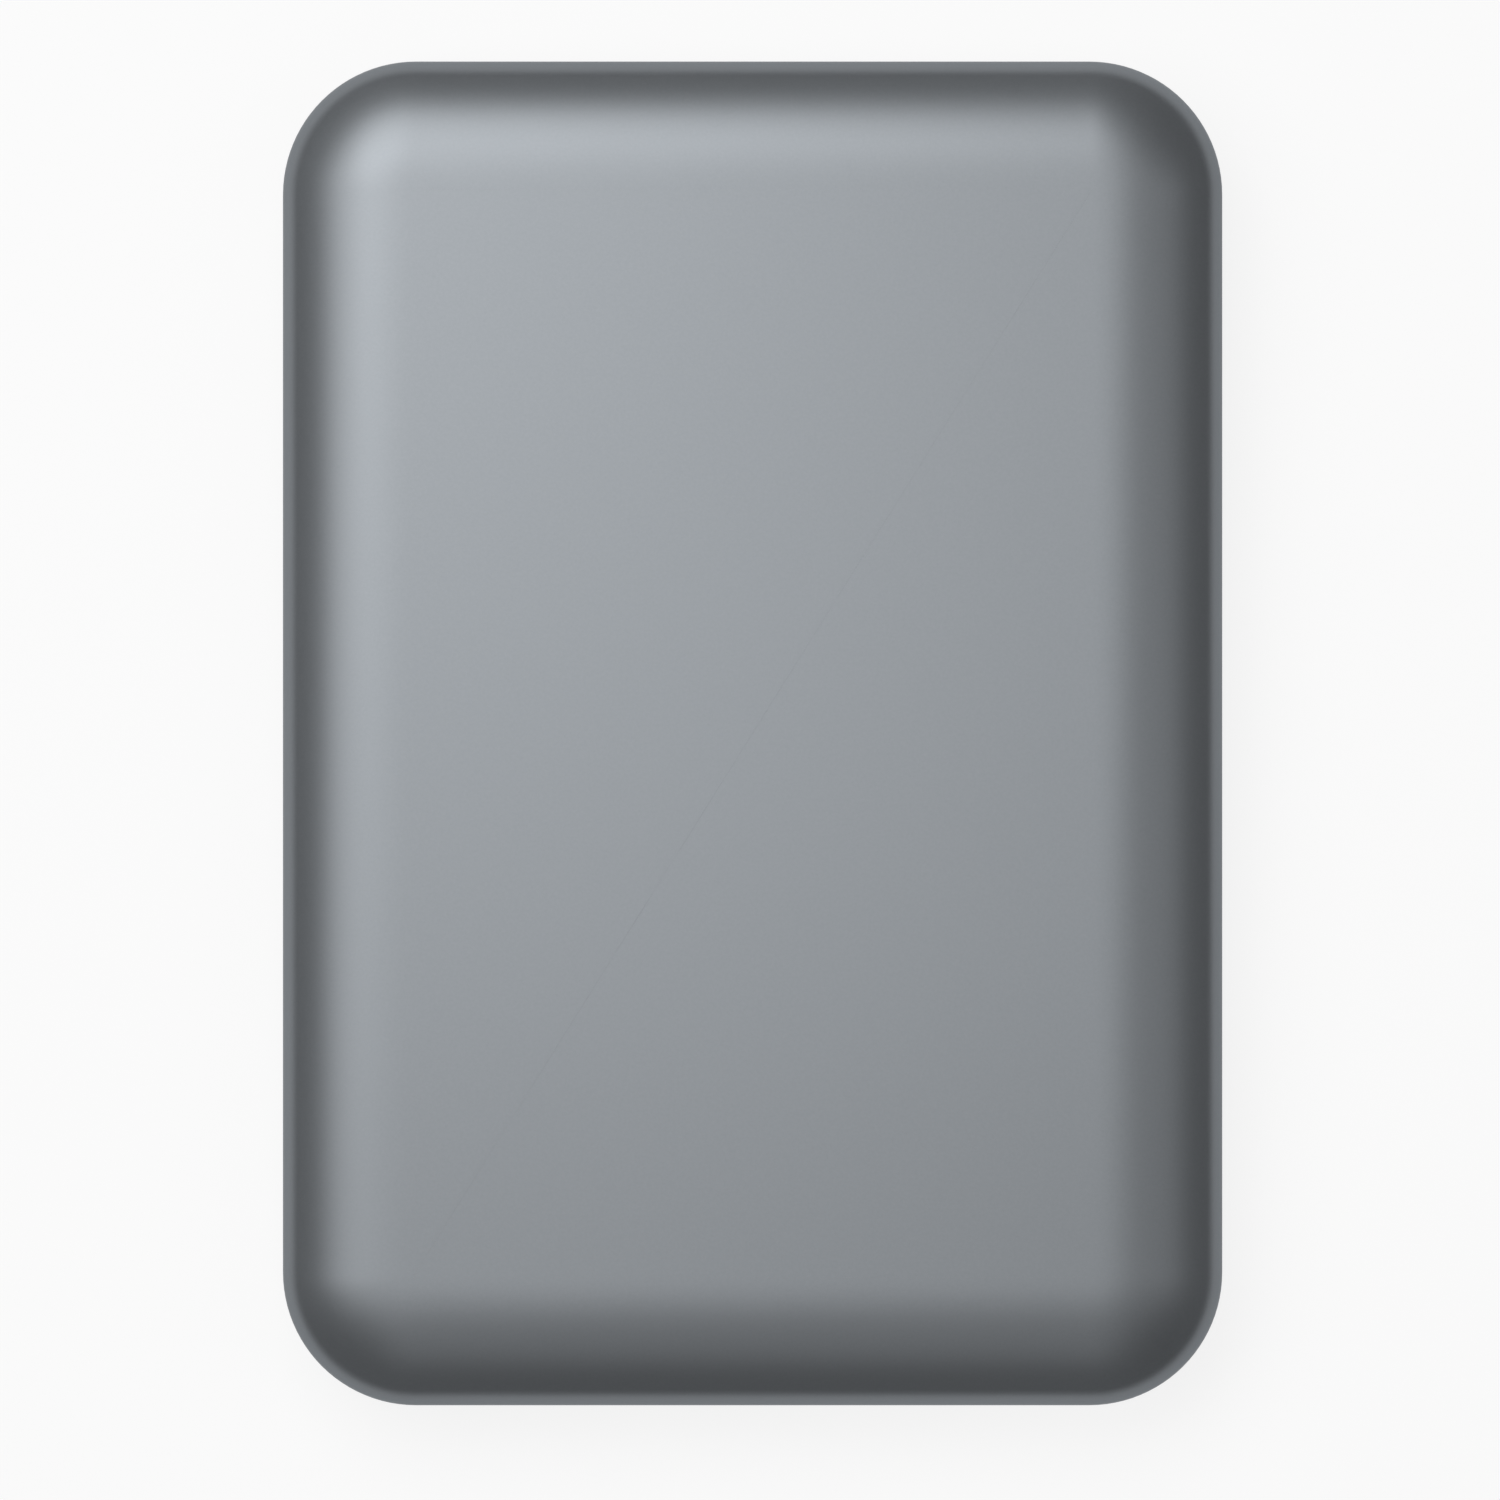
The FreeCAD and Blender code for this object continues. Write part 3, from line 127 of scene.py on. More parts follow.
round_edges(tray, upright, TRAY_CORNER, CORNER_STEPS)
round_edges(tray, lambda edge: level(edge, tray_low.z), TRAY_BEVEL, 1)
bevel_top = tray_low.z + TRAY_BEVEL
round_edges(tray, lambda edge: level(edge, tray_low.z) or level(edge, bevel_top), BEVEL_EASE, 4)


def modify(piece, kind, **settings):
    """Adds a modifier with its settings and applies it."""
    pick(piece)
    change = piece.modifiers.new(kind.lower(), kind)
    for name, value in settings.items():
        setattr(change, name, value)
    bpy.ops.object.modifier_apply(modifier=change.name)


# The block is opened at its top and gets its wall inwards.
FLAT = 0.99                      # the least share of up or down in a level face's normal
choose(tray, "faces", lambda face: face.normal.z > FLAT)
bpy.ops.mesh.delete(type="FACE")
bpy.ops.object.mode_set(mode="OBJECT")
modify(tray, "SOLIDIFY", thickness=WALL, offset=-1, use_even_offset=True)

# The notch for the port is open to the seam, and the window for the light is closed all round.
PORT_GAP = 0.35 * MM
PORT_CUT = 0.55 * MM             # bevels the notch's corners
WINDOW_GAP = 0.05 * MM
port_low, port_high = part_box("usb_receptacle")
notch = box("notch", (port_low.x - PORT_GAP, tray_high.y - 2 * WALL, port_low.z - PORT_GAP),
            (port_high.x + PORT_GAP, tray_high.y + WALL, SEAM + WALL))
round_edges(notch, lambda edge: abs(edge.verts[0].co.y - edge.verts[1].co.y) > WALL, PORT_CUT, 1)
pipe_low, pipe_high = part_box("light_pipe")
window = box("window", (pipe_low.x - WINDOW_GAP, tray_high.y - 2 * WALL, pipe_low.z - WINDOW_GAP),
             (pipe_high.x + WINDOW_GAP, tray_high.y + WALL, pipe_high.z + WINDOW_GAP))
for cutter in (notch, window):
    modify(tray, "BOOLEAN", operation="DIFFERENCE", object=cutter, solver="EXACT")
    bpy.data.objects.remove(cutter)
modify(tray, "BEVEL", width=TRAY_EASE, segments=2, limit_method="ANGLE", angle_limit=SHARP)

# Two posts carry the bridge board, beaded clips reach up past the seam, and a rib stops the drive.
ROOT = 0.3 * MM                  # how deep a post or rib runs into the wall that carries it
POST_PLACE, POST_WIDTH = 20 * MM, 3 * MM
CLIP_PLACE, CLIP_LENGTH, CLIP_THICKNESS = 28 * MM, 10 * MM, 0.9 * MM
CLIP_FOOT = 2 * MM               # below the seam
BEAD_DEPTH = 0.3 * MM
BEAD_LOW, BEAD_HIGH = 0.7 * MM, 0.3 * MM     # below the clip's end
STOP_WIDTH, STOP_THICKNESS = 24 * MM, 1 * MM
STOP_GAP, STOP_DROP = 0.1 * MM, 0.05 * MM    # to the drive and below the seam
tray_floor = tray_low.z + WALL
wall_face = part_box("top_shell")[1].x - WALL
bridge_low, bridge_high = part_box("bridge_board")
drive_low, drive_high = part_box("base_casting")
post_y = (bridge_low.y + bridge_high.y) / 2
inside = []
for side in (-1, 1):
    post_x = side * POST_PLACE
    inside.append(box("post", (post_x - POST_WIDTH / 2, post_y - POST_WIDTH / 2, tray_floor - ROOT),
                      (post_x + POST_WIDTH / 2, post_y + POST_WIDTH / 2, bridge_low.z)))
    for end in (-CLIP_PLACE, CLIP_PLACE):
        first, last = end - CLIP_LENGTH / 2, end + CLIP_LENGTH / 2
        near, far = sorted((side * wall_face, side * (wall_face - CLIP_THICKNESS)))
        inside.append(box("clip", (near, first, SEAM - CLIP_FOOT), (far, last, tray_high.z)))
        near, far = sorted((side * (wall_face + BEAD_DEPTH), side * (wall_face - CLIP_THICKNESS)))
        inside.append(box("bead", (near, first, tray_high.z - BEAD_LOW),
                          (far, last, tray_high.z - BEAD_HIGH)))
stop_y = drive_low.y - STOP_GAP
inside.append(box("stop_rib", (-STOP_WIDTH / 2, stop_y - STOP_THICKNESS, tray_floor - ROOT),
                  (STOP_WIDTH / 2, stop_y, SEAM - STOP_DROP)))


def join(piece, *others):
    """Makes one piece of several."""
    pick(piece, *others)
    bpy.ops.object.join()


def smooth(piece):
    """Shades a piece smooth but for its sharp edges, with its flat faces kept flat."""
    pick(piece)
    bpy.ops.object.shade_smooth_by_angle(angle=math.radians(35))
    modify(piece, "WEIGHTED_NORMAL", keep_sharp=True)


join(tray, *inside)
smooth(tray)


def linear(code):
    """A colour written as sRGB hex, in the linear values that the renderer works with."""
    parts = [int(code[i:i + 2], 16) / 255 for i in (1, 3, 5)]
    return [c / 12.92 if c <= 0.04045 else ((c + 0.055) / 1.055) ** 2.4 for c in parts] + [1.0]


def add_node(finish, kind, settings, inputs):
    """Adds one node with its settings; each input takes a value or the socket that feeds it."""
    node = finish.node_tree.nodes.new(kind)
    for name, value in settings.items():
        setattr(node, name, value)
    for name, value in inputs.items():
        if isinstance(value, bpy.types.NodeSocket):
            finish.node_tree.links.new(value, node.inputs[name])
        else:
            node.inputs[name].default_value = value
    return node


def new_finish(name, colour, **values):
    """A material with one principled shader and the values that are the same all over it."""
    finish = bpy.data.materials.new(name)
    finish.use_nodes = True
    shader = finish.node_tree.nodes["Principled BSDF"]
    shader.inputs["Base Color"].default_value = linear(colour)
    for socket, value in values.items():
        shader.inputs[socket.replace("_", " ")].default_value = value
    return finish


def grain(finish, size, stretch=(1, 1, 1), detail=2.0):
    """A soft random pattern whose spots are a size across, and finer along a stretched axis."""
    place = add_node(finish, "ShaderNodeTexCoord", {}, {})
    drawn = add_node(finish, "ShaderNodeMapping", {},
                     {"Vector": place.outputs["Object"], "Scale": stretch})
    cells = 1 / (2 * size)       # a cell holds one light and one dark spot
    spots = {"Vector": drawn.outputs["Vector"], "Scale": cells, "Detail": detail}
    return add_node(finish, "ShaderNodeTexNoise", {}, spots).outputs["Fac"]


def work(finish, pattern, tones, roughness, depth=0):
    """Lets a pattern change a finish: its colour between two tones, its roughness and its relief."""
    shader = finish.node_tree.nodes["Principled BSDF"]
    links = finish.node_tree.links
    mixed = add_node(finish, "ShaderNodeMixRGB", {},
                     {"Fac": pattern, "Color1": linear(tones[0]), "Color2": linear(tones[1])})
    links.new(mixed.outputs["Color"], shader.inputs["Base Color"])
    ranged = add_node(finish, "ShaderNodeMapRange", {},
                      {"Value": pattern, "To Min": roughness[0], "To Max": roughness[1]})
    links.new(ranged.outputs["Result"], shader.inputs["Roughness"])
    if depth:
        relief = add_node(finish, "ShaderNodeBump", {}, {"Height": pattern, "Distance": depth})
        links.new(relief.outputs["Normal"], shader.inputs["Normal"])


# Black ABS from a spark-eroded mould: near black, and dull with a sheen that breaks up finely.
# The texture's real grain of 0.08 mm is drawn at 0.25 mm so that it shows.
black_abs = new_finish("moulded_black_abs", "#1C1D1F", Roughness=0.5, IOR=1.52)
work(black_abs, grain(black_abs, 0.25 * MM), ("#18191B", "#212224"), (0.46, 0.58), 0.012 * MM)
tray.data.materials.append(black_abs)
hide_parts("bottom_shell")
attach(tray, "case")

# Rubber feet: four thin pads punched from black rubber sheet and glued under the corners.
# Side mounts, crash stops and gasket: the same rubber, moulded, and gripped between other pieces.

FOOT_WIDTH, FOOT_LENGTH = 6 * MM, 12 * MM
FOOT_CUT, FOOT_CORNER = 1.5 * MM, 0.3 * MM   # a cut corner, and the rounding of its two edges
FOOT_EASE = 0.12 * MM
feet_low, feet_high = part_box("rubber_feet")
foot = box("foot_pads", feet_low, (feet_low.x + FOOT_WIDTH, feet_low.y + FOOT_LENGTH, feet_high.z))
round_edges(foot, upright, FOOT_CUT, 1)
round_edges(foot, upright, FOOT_CORNER, 3)
round_edges(foot, lambda edge: level(edge, feet_low.z), FOOT_EASE, 3)
smooth(foot)
across = feet_high.x - feet_low.x - FOOT_WIDTH
along = feet_high.y - feet_low.y - FOOT_LENGTH
copies = []
for step in ((across, 0, 0), (0, along, 0), (across, along, 0)):
    copy = foot.copy()
    copy.data = foot.data.copy()
    copy.data.transform(Matrix.Translation(step))
    bpy.context.collection.objects.link(copy)
    copies.append(copy)
join(foot, *copies)


def dress(finish, *names):
    """Gives CAD pieces a finish."""
    for name in names:
        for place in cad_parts[name].material_slots:
            place.material = finish


# Nitrile rubber: dull black that greys a little where its skin is rough, with a talc-like bloom.
rubber = new_finish("nitrile_rubber", "#202122", Roughness=0.85, IOR=1.5)
work(rubber, grain(rubber, 0.4 * MM, detail=4), ("#1B1C1D", "#2A2B2C"), (0.78, 0.92), 0.02 * MM)
foot.data.materials.append(rubber)
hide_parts("rubber_feet")
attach(foot, "case")
dress(rubber, "bumper_rear_left", "bumper_rear_right", "bumper_front_left", "bumper_front_right",
      "crash_stops", "cover_gasket")

# Base casting: the drive's bowl, die cast in aluminium and sealed with a dip coat. It holds the
# motor, the heads' bearing and the cover, and sits between the rubber side mounts.

# Dip-coated die casting: dull mid grey, half metallic, and cloudy with the flow of the metal.
cast_aluminium = new_finish("die_cast_aluminium", "#8F9194", Metallic=0.85, Roughness=0.5)
clouds = grain(cast_aluminium, 0.6 * MM, detail=5)
work(cast_aluminium, clouds, ("#84868A", "#999B9D"), (0.42, 0.6), 0.015 * MM)
dress(cast_aluminium, "base_casting")

# Spindle motor: a bronze sleeve pressed into the casting, a wound core of stacked steel sheets, and
# a turned hub with a ring magnet under it. The disc is glass with a polished magnetic coat.


def lines(finish, pitch):
    """Even level lines at a pitch."""
    place = add_node(finish, "ShaderNodeTexCoord", {}, {})
    settings = {"wave_type": "BANDS", "bands_direction": "Z"}
    rate = 2 * math.pi / pitch / 20          # the wave turns 20 radians for a scale of 1
    waves = {"Vector": place.outputs["Object"], "Scale": rate}
    return add_node(finish, "ShaderNodeTexWave", settings, waves).outputs["Fac"]


# Sintered bronze: warm brown metal with the fine pores that hold its oil.
bronze = new_finish("sintered_bronze", "#A07C4C", Metallic=1.0, Roughness=0.42)
work(bronze, grain(bronze, 0.15 * MM, detail=6), ("#8A683C", "#AF8B58"), (0.36, 0.55), 0.008 * MM)
dress(bronze, "spindle_sleeve")
# Stamped motor sheets, 0.2 mm each: dark bluish steel with the stack's edges showing as lines.
motor_steel = new_finish("laminated_motor_steel", "#6E7176", Metallic=1.0, Roughness=0.4)
work(motor_steel, lines(motor_steel, 0.2 * MM), ("#5D6065", "#7C7F84"), (0.36, 0.5), 0.01 * MM)
dress(motor_steel, "stator_core")
# Enamelled copper wire, wound: red-brown gloss with a line for each turn of 0.15 mm wire.
copper_wire = new_finish("enamelled_copper_wire", "#A9562B", Metallic=0.9, Roughness=0.32)
work(copper_wire, lines(copper_wire, 0.15 * MM), ("#8F4420", "#BF6A38"), (0.25, 0.42), 0.03 * MM)
dress(copper_wire, "stator_coils", "voice_coil")
# Turned aluminium: bright, with a fine level grain that the cutting tool left round the axis.
turned_aluminium = new_finish("turned_aluminium", "#C4C5C7", Metallic=1.0, Roughness=0.28)
tool_marks = grain(turned_aluminium, 0.3 * MM, (1, 1, 6))
work(turned_aluminium, tool_marks, ("#B8B9BB", "#CFD0D1"), (0.22, 0.36), 0.003 * MM)
dress(turned_aluminium, "spindle_hub", "actuator_arm")
# Resin bonded magnet: dark grey, grainy and half dull.
bonded_magnet = new_finish("bonded_magnet", "#3A3A3B", Metallic=0.4, Roughness=0.6)
powder = grain(bonded_magnet, 0.2 * MM, detail=6)
work(bonded_magnet, powder, ("#313132", "#464647"), (0.5, 0.7), 0.01 * MM)
dress(bonded_magnet, "rotor_magnet")
# Polished disc coating: a near-perfect mirror with the faintest haze.
disc_coat = new_finish("polished_disc_coat", "#D6D4D1", Metallic=1.0, Roughness=0.04)
work(disc_coat, grain(disc_coat, 6 * MM, detail=1), ("#D3D1CE", "#D9D7D4"), (0.03, 0.06))
dress(disc_coat, "platter")
# Ground steel: cool grey with a faint directional scratch.
ground_steel = new_finish("ground_steel", "#A3A5A8", Metallic=1.0, Roughness=0.3)
scratches = grain(ground_steel, 0.4 * MM, (1, 12, 1), 4)
work(ground_steel, scratches, ("#96989B", "#B0B2B4"), (0.24, 0.4), 0.002 * MM)
dress(ground_steel, "disc_clamp", "pivot_post", "pivot_sleeve")

# Head actuator: an aluminium arm on a bearing, with a coil between two plated magnets and a pair of
# etched steel springs that carry the heads. A slick plastic ramp holds the heads off the disc.

# Nickel plate: bright, slightly warm metal with faint flow marks of the plating.
nickel_plate = new_finish("nickel_plate", "#BDB9B0", Metallic=1.0, Roughness=0.22)
flow_marks = grain(nickel_plate, 1.5 * MM, detail=3)
work(nickel_plate, flow_marks, ("#B4B0A7", "#C6C2B9"), (0.16, 0.3), 0.002 * MM)
dress(nickel_plate, "lower_yoke", "upper_yoke", "lower_magnet", "upper_magnet", "yoke_posts")
# Spring steel sheet, etched and polished: bright with a light grain of the roll.
spring_steel = new_finish("etched_spring_steel", "#C1BFB8", Metallic=1.0, Roughness=0.25)
roll_marks = grain(spring_steel, 0.2 * MM, (1, 8, 1))
work(spring_steel, roll_marks, ("#B5B3AC", "#CBC9C2"), (0.2, 0.32), 0.001 * MM)
dress(spring_steel, "lower_suspension", "upper_suspension")
# Lapped ceramic: black and smooth, with a fine speckle of two phases.
slider_ceramic = new_finish("lapped_slider_ceramic", "#2B2B2C", Roughness=0.2, IOR=1.77)
speckle = grain(slider_ceramic, 0.03 * MM, detail=4)
work(slider_ceramic, speckle, ("#202021", "#3A3A3B"), (0.15, 0.28))
dress(slider_ceramic, "lower_slider", "upper_slider")
# Acetal: ivory, waxy and slick.
acetal = new_finish("moulded_acetal", "#D9D0B4", Roughness=0.35, IOR=1.48, Subsurface_Weight=0.1,
                    Subsurface_Radius=(0.8 * MM, 0.6 * MM, 0.4 * MM), Subsurface_Scale=1.0)
work(acetal, grain(acetal, 1.0 * MM), ("#D2C9AC", "#DFD7BD"), (0.3, 0.42))
dress(acetal, "load_ramp")
# Needled felt: white, deep and hairy, with no gloss.
felt = new_finish("filter_felt", "#E3E2DD", Roughness=0.95, Sheen_Weight=0.3)
work(felt, grain(felt, 0.2 * MM, (1, 4, 1), 6), ("#CFCEC9", "#EFEEEA"), (0.9, 1.0), 0.08 * MM)
dress(felt, "recirculation_filter")

# Head ribbon: a strip of polyimide film with copper tracks in it. It stands on edge in a quarter
# turn, clamped in its bracket and glued to the arm.

FILM = 0.12 * MM
RIBBON_STEPS = 24
ribbon_low, ribbon_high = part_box("head_flex")
# Polyimide film: clear amber gloss over copper tracks 0.3 mm apart.
polyimide = new_finish("amber_polyimide_film", "#B0691F", Roughness=0.22, IOR=1.7, Coat_Weight=0.3)
work(polyimide, lines(polyimide, 0.3 * MM), ("#99551A", "#C37B2A"), (0.18, 0.3), 0.006 * MM)
bpy.ops.object.select_all(action="DESELECT")
bpy.ops.mesh.primitive_plane_add(
    size=1,
    location=(ribbon_high.x - FILM / 2, ribbon_low.y, (ribbon_low.z + ribbon_high.z) / 2),
    rotation=(math.pi / 2, 0, 0),
)
ribbon = bpy.context.object
ribbon.name = "head_ribbon"
ribbon.scale = (FILM, ribbon_high.z - ribbon_low.z, 1)
bpy.ops.object.transform_apply()
choose(ribbon, "faces", lambda face: True)
bpy.ops.mesh.spin(
    steps=RIBBON_STEPS,
    angle=math.pi / 2,
    center=(ribbon_low.x, ribbon_low.y, 0),
    axis=(0, 0, -1),
)
bpy.ops.mesh.select_all(action="SELECT")
bpy.ops.mesh.normals_make_consistent(inside=False)
bpy.ops.object.mode_set(mode="OBJECT")
smooth(ribbon)
ribbon.data.materials.append(polyimide)
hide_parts("head_flex")
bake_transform(ribbon)

# Drive cover: a lid stamped from stainless sheet, with a raised field that stiffens it. It closes
# the casting and is screwed down on its gasket.

# Rolled stainless sheet: soft grey lustre with a long fine grain along the drive.
stainless = new_finish("rolled_stainless_sheet", "#B4B5B6", Metallic=1.0, Roughness=0.34)
sheet_grain = grain(stainless, 0.5 * MM, (12, 1, 1), 4)
work(stainless, sheet_grain, ("#A8A9AA", "#BFC0C1"), (0.28, 0.42), 0.003 * MM)
dress(stainless, "drive_cover")

# Controller board: glass epoxy with green solder mask, under the casting. Its chips are soldered on
# the outside, a film keeps it off the casting, and the drive's plug stands at its front edge.

# Solder mask over weave and tracks: glossy green, darker where there is no copper below.
solder_mask = new_finish("green_solder_mask", "#14583A", Roughness=0.32, IOR=1.5, Coat_Weight=0.2)
tracks = grain(solder_mask, 1.2 * MM, detail=1)
work(solder_mask, tracks, ("#0F4A30", "#1C6A47"), (0.26, 0.4), 0.01 * MM)
dress(solder_mask, "controller_board", "bridge_board")
# Moulding epoxy: charcoal black with a fine matt grit.
chip_epoxy = new_finish("chip_moulding_epoxy", "#262728", Roughness=0.62, IOR=1.55)
grit = grain(chip_epoxy, 0.12 * MM, detail=4)
work(chip_epoxy, grit, ("#202122", "#303132"), (0.56, 0.72), 0.01 * MM)
dress(chip_epoxy, "main_chip", "memory_chip", "motor_chip", "bridge_chip")
# Polyester film: thin, black and shiny, with a slight ripple.
film = new_finish("black_polyester_film", "#1E1F22", Roughness=0.2, IOR=1.6)
work(film, grain(film, 4 * MM, detail=1), ("#1A1B1E", "#24252A"), (0.15, 0.28), 0.05 * MM)
dress(film, "board_insulator")
# Glass-filled connector plastic: black, with faint flow streaks across the moulding.
connector_plastic = new_finish("glass_filled_connector_plastic", "#1A1B1C", Roughness=0.5, IOR=1.58)
streaks = grain(connector_plastic, 0.5 * MM, (1, 3, 3), 4)
work(connector_plastic, streaks, ("#151617", "#232425"), (0.42, 0.6), 0.005 * MM)
dress(connector_plastic, "sata_plug", "sata_socket", "usb_tongue", "flex_bracket")

# Bridge board: glass epoxy with the same green mask, on two posts of the tray. The port, the drive's
# socket, a controller chip, capacitors and the light are soldered to it.

# Fired ceramic capacitors: tan bodies with a slight mottle.
capacitor = new_finish("capacitor_ceramic", "#9A7A58", Roughness=0.45, IOR=1.6)
work(capacitor, grain(capacitor, 0.2 * MM), ("#8C6D4C", "#A88865"), (0.38, 0.52))
dress(capacitor, "bridge_parts")
# Clear cast resin over a white reflector: milky, and glossy like a bead.
led_resin = new_finish("led_resin", "#EDEBE0", Roughness=0.15, IOR=1.5, Transmission_Weight=0.3)
work(led_resin, grain(led_resin, 0.5 * MM), ("#E6E4D8", "#F3F1E8"), (0.1, 0.22))
dress(led_resin, "status_led")
# Tin plated steel: bright grey, with the light drag marks of folding.
tin_plate = new_finish("tin_plated_steel", "#B9BABB", Metallic=1.0, Roughness=0.26)
drag_marks = grain(tin_plate, 0.3 * MM, (1, 8, 1), 4)
work(tin_plate, drag_marks, ("#ABACAD", "#C7C8C8"), (0.2, 0.36), 0.002 * MM)
dress(tin_plate, "usb_receptacle")
# Gold flash on the contacts: warm and bright, thinner where the plug wipes.
gold_flash = new_finish("gold_flash", "#D8A94C", Metallic=1.0, Roughness=0.22)
work(gold_flash, grain(gold_flash, 0.2 * MM, (1, 6, 1)), ("#C8983E", "#E2B65C"), (0.16, 0.3))
dress(gold_flash, "usb_contacts")

# Shield foil: a strip of rolled aluminium, cut to shape and pressed down. It grounds the port's
# shell to the drive's cover.

# Rolled foil: bright, and a little wavy where it was pressed on.
foil = new_finish("rolled_aluminium_foil", "#C9CACA", Metallic=1.0, Roughness=0.3)
work(foil, grain(foil, 3 * MM, detail=4), ("#BDBEBE", "#D3D4D4"), (0.22, 0.4), 0.08 * MM)
dress(foil, "shield_foil")

# Light pipe: a short block of clear polycarbonate, moulded, and held in the tray's window. It
# carries the light from the bridge board to the outside.

# Clear polycarbonate: glassy and faintly cool, with slightly frosted faces that spread the light.
polycarbonate = new_finish("clear_polycarbonate", "#E4E9EC", Roughness=0.18, IOR=1.58,
                           Transmission_Weight=0.75)
work(polycarbonate, grain(polycarbonate, 0.8 * MM), ("#DDE3E6", "#EBEFF1"), (0.12, 0.26))
dress(polycarbonate, "light_pipe")

# Upper shell: an ABS moulding with a pillow edge, sprayed a satin blue-grey. Its flat top runs
# softly, with no line where it starts to fall, into a tight arc at its side. Ribs hold the drive down.

SHELL_CORNER = 11.4 * MM
SHELL_EASE = 0.15 * MM           # breaks the sharp edges at the seam
EDGE_RADIUS = 3.6 * MM
EDGE_STEPS, CROWN_STEPS = 16, 20
LEAN = math.radians(33)          # the slope where the arc ends and the softer crown takes over
SOFTNESS = 1.75                  # 1 is nearly a plain arc, and more starts the crown more softly
WELD = 0.002 * MM
shell_low, shell_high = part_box("top_shell")
arc_width = EDGE_RADIUS * (1 - math.sin(LEAN))
crown_width = SHELL_CORNER - arc_width
crown_drop = math.tan(LEAN) * crown_width / (SOFTNESS + 1)
arc_foot = shell_high.z - crown_drop - EDGE_RADIUS * math.cos(LEAN)
# The edge's section, from its foot to the flat: how far in from the side, and how high.
section = []
for step in range(EDGE_STEPS + 1):
    slope = math.pi / 2 + (LEAN - math.pi / 2) * step / EDGE_STEPS
    section.append((EDGE_RADIUS * (1 - math.sin(slope)), arc_foot + EDGE_RADIUS * math.cos(slope)))
for step in range(1, CROWN_STEPS + 1):
    way = step / CROWN_STEPS
    drop = crown_drop * (1 - way) ** (SOFTNESS + 1)
    section.append((arc_width + crown_width * way, shell_high.z - drop))

shell = box("upper_shell", shell_low, (shell_high.x, shell_high.y, arc_foot))
round_edges(shell, upright, SHELL_CORNER, CORNER_STEPS)
choose(shell, "faces", lambda face: face.normal.z > FLAT)
for (inset, height), (next_inset, next_height) in zip(section, section[1:]):
    bpy.ops.mesh.inset(thickness=next_inset - inset, depth=next_height - height)
bpy.ops.object.mode_set(mode="OBJECT")
choose(shell, "faces", lambda face: face.normal.z < -FLAT)
bpy.ops.mesh.delete(type="FACE")
bpy.ops.mesh.select_all(action="SELECT")
bpy.ops.mesh.remove_doubles(threshold=WELD)
bpy.ops.mesh.normals_make_consistent(inside=False)
bpy.ops.object.mode_set(mode="OBJECT")
modify(shell, "SOLIDIFY", thickness=WALL, offset=-1, use_even_offset=True)
modify(shell, "BEVEL", width=SHELL_EASE, segments=3, limit_method="ANGLE", angle_limit=SHARP)

RIB_PLACE, RIB_WIDTH = 9 * MM, 1 * MM
RIB_GAP = 0.15 * MM              # above the drive's cover
cover_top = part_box("drive_cover")[1].z
ribs = []
for side in (-1, 1):
    rib_x = side * RIB_PLACE
    ribs.append(box("rib", (rib_x - RIB_WIDTH / 2, drive_low.y / 2, cover_top + RIB_GAP),
                    (rib_x + RIB_WIDTH / 2, drive_high.y / 2, shell_high.z - WALL + ROOT)))
join(shell, *ribs)
smooth(shell)

# Satin metallic paint: a cool grey lacquer with fine flake, which shines broadly and goes dark
# quickly as it turns away. Its matted skin keeps the glancing shine at the rim low.
# The flake of 0.03 mm is drawn at 0.12 mm so that it shows close up.
satin_paint = new_finish("satin_blue_grey_paint", "#85898D", Metallic=0.7, Roughness=0.4,
                         Specular_IOR_Level=0.2, Specular_Tint=linear("#C8CCD0"))
flake = grain(satin_paint, 0.12 * MM, detail=1)
work(satin_paint, flake, ("#82868A", "#888C90"), (0.37, 0.43), 0.0008 * MM)
shell.data.materials.append(satin_paint)
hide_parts("top_shell")
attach(shell, "case")

# Studio: a white paper floor, a soft box overhead, two at the back and left, two weak ones at the
# right and front, and a camera that looks straight down from a distance, as the photograph does.

PAPER_SIZE = 4
PAPER_DROP = 0.02 * MM           # keeps the paper just clear of the feet
bpy.ops.object.select_all(action="DESELECT")
bpy.ops.mesh.primitive_plane_add(size=PAPER_SIZE, location=(0, 0, -PAPER_DROP))
floor = bpy.context.object
floor.name = "floor"
# Studio paper: plain matt white, seen as white wherever light reaches it, with a faint shadow left.
PAPER_WHITE = 0.85
paper = bpy.data.materials.new("white_studio_paper")
paper.use_nodes = True
paper.node_tree.nodes.clear()
path = add_node(paper, "ShaderNodeLightPath", {}, {})
mirrored = add_node(paper, "ShaderNodeMath", {"operation": "MAXIMUM"},
                    {0: path.outputs["Is Glossy Ray"], 1: path.outputs["Is Transmission Ray"]})
seen = add_node(paper, "ShaderNodeMath", {"operation": "MAXIMUM"},
                {0: path.outputs["Is Camera Ray"], 1: mirrored.outputs["Value"]})
share = add_node(paper, "ShaderNodeMath", {"operation": "MULTIPLY"},
                 {0: seen.outputs["Value"], 1: PAPER_WHITE})
matt = add_node(paper, "ShaderNodeBsdfDiffuse", {}, {"Color": linear("#F4F4F4")})
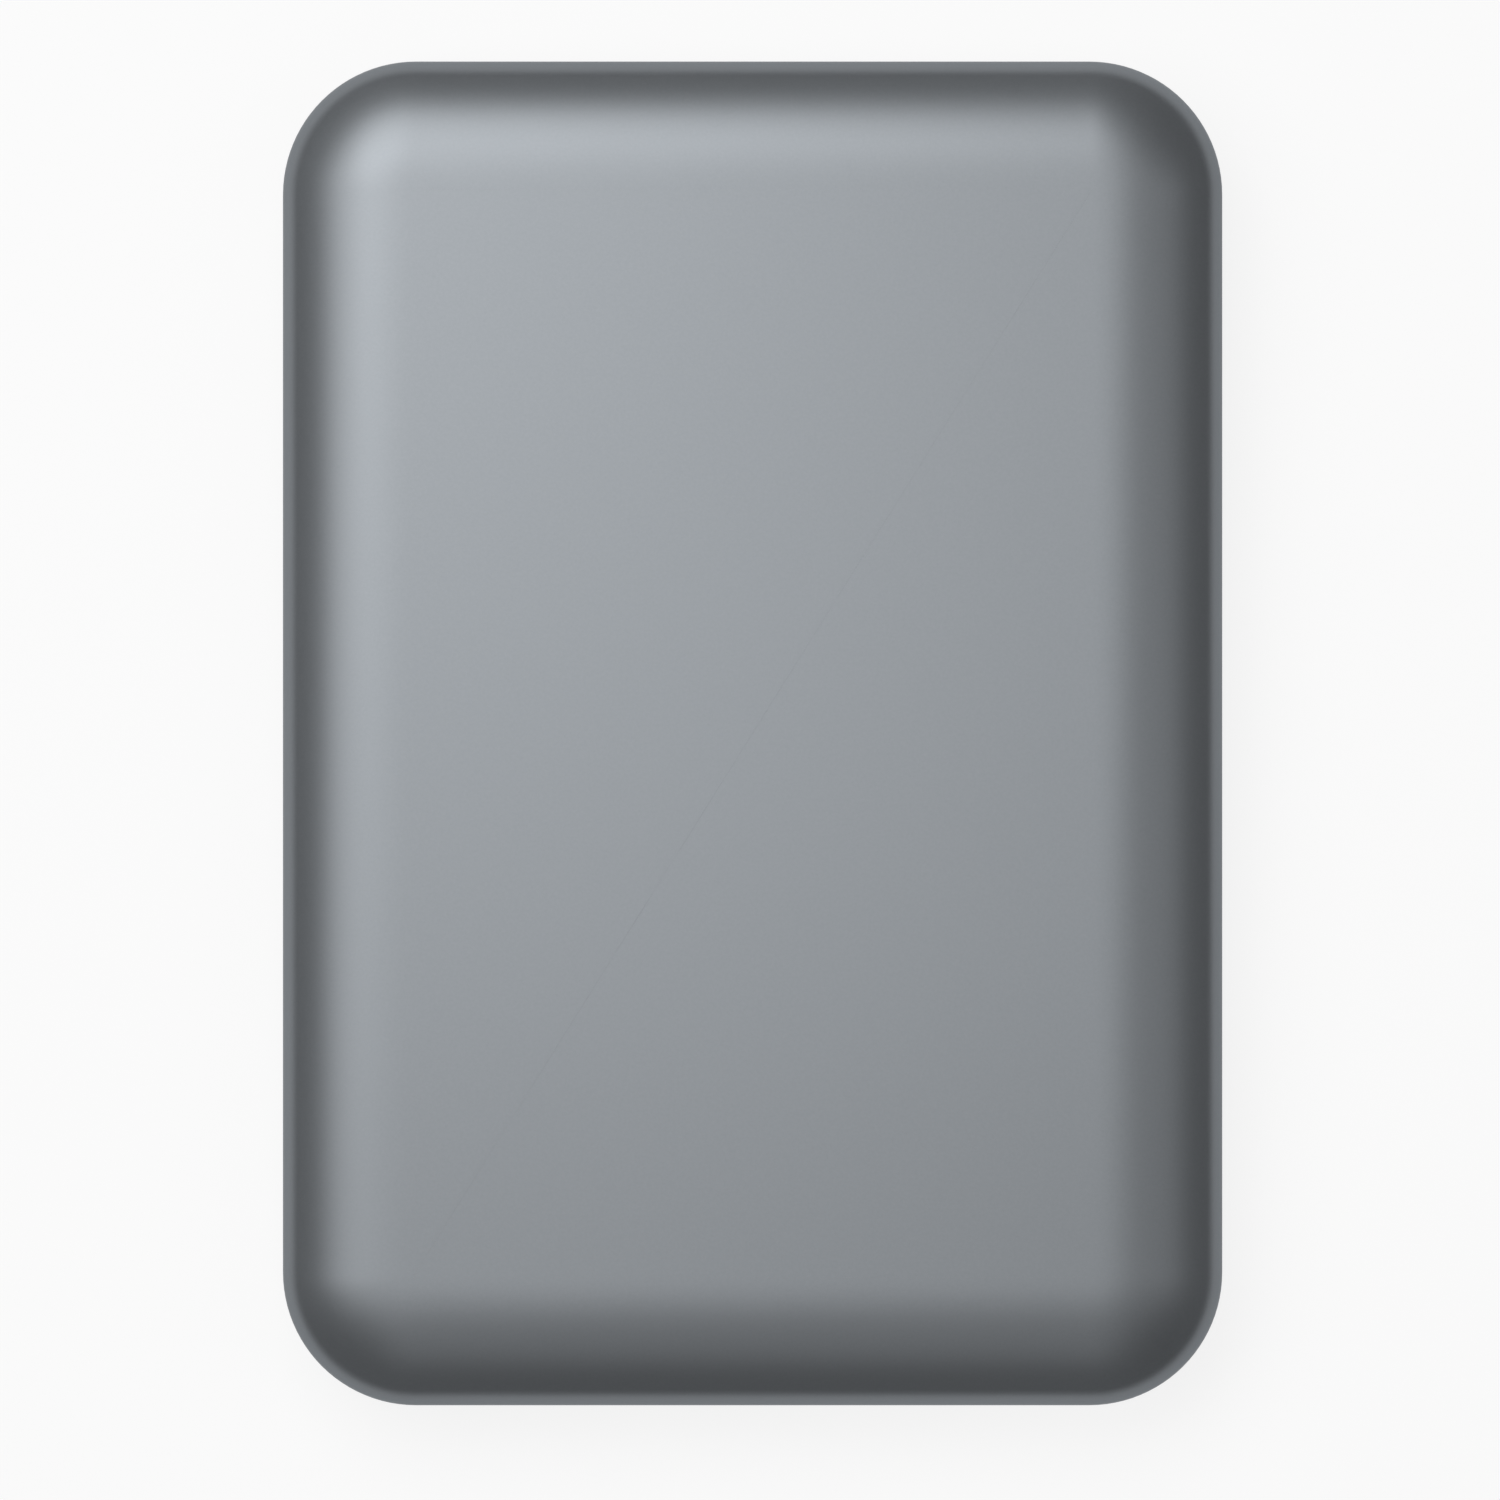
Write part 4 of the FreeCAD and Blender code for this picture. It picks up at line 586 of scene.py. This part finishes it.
glow = add_node(paper, "ShaderNodeEmission", {}, {"Color": linear("#FFFFFF"), "Strength": 1.0})
mixed = add_node(paper, "ShaderNodeMixShader", {},
                 {0: share.outputs["Value"], 1: matt.outputs["BSDF"], 2: glow.outputs["Emission"]})
add_node(paper, "ShaderNodeOutputMaterial", {}, {"Surface": mixed.outputs["Shader"]})
floor.data.materials.append(paper)


def soft_box(name, place, size, power):
    """A square soft box that faces the object, with its place and width in metres."""
    light = bpy.data.lights.new(name, "AREA")
    light.shape = "SQUARE"
    light.size = size
    light.energy = power
    lamp = bpy.data.objects.new(name, light)
    lamp.location = place
    direction = -lamp.location.normalized()
    lamp.rotation_mode = "QUATERNION"
    lamp.rotation_quaternion = direction.to_track_quat("-Z", "Y")
    bpy.context.scene.collection.objects.link(lamp)


soft_box("top_box", (0.0, 0.0, 0.8), 0.25, 0.62)
soft_box("back_box", (-0.15, 0.38, 0.7), 0.5, 2.9)
soft_box("left_box", (-0.39, 0.07, 0.7), 0.5, 1.85)
soft_box("right_box", (0.46, 0.0, 0.65), 0.4, 0.41)
soft_box("front_box", (0.0, -0.46, 0.65), 0.4, 0.26)

ROOM = 0.05                      # a dim room, which the paint needs for its dark bands
world = bpy.data.worlds.new("studio")
world.use_nodes = True
world.node_tree.nodes["Background"].inputs["Color"].default_value = (ROOM, ROOM, ROOM, 1)
bpy.context.scene.world = world

# The picture is square, and the case's middle lies a little off its centre. The scale is that of the
# outline that shows, at the top of the case's upright side.
PICTURE = 1500
MIDDLE_X, MIDDLE_Y = 752.6, 733.4
POINTS_PER_METRE = 11.68 / MM
eye = bpy.data.cameras.new("camera")
eye.sensor_width = 36
eye.lens = 150
camera = bpy.data.objects.new("camera", eye)
bpy.context.scene.collection.objects.link(camera)
camera.location = (
    (PICTURE / 2 - MIDDLE_X) / POINTS_PER_METRE,
    (MIDDLE_Y - PICTURE / 2) / POINTS_PER_METRE,
    arc_foot + PICTURE / POINTS_PER_METRE * eye.lens / eye.sensor_width,
)
bpy.context.scene.camera = camera
bpy.context.scene.view_settings.view_transform = "Standard"
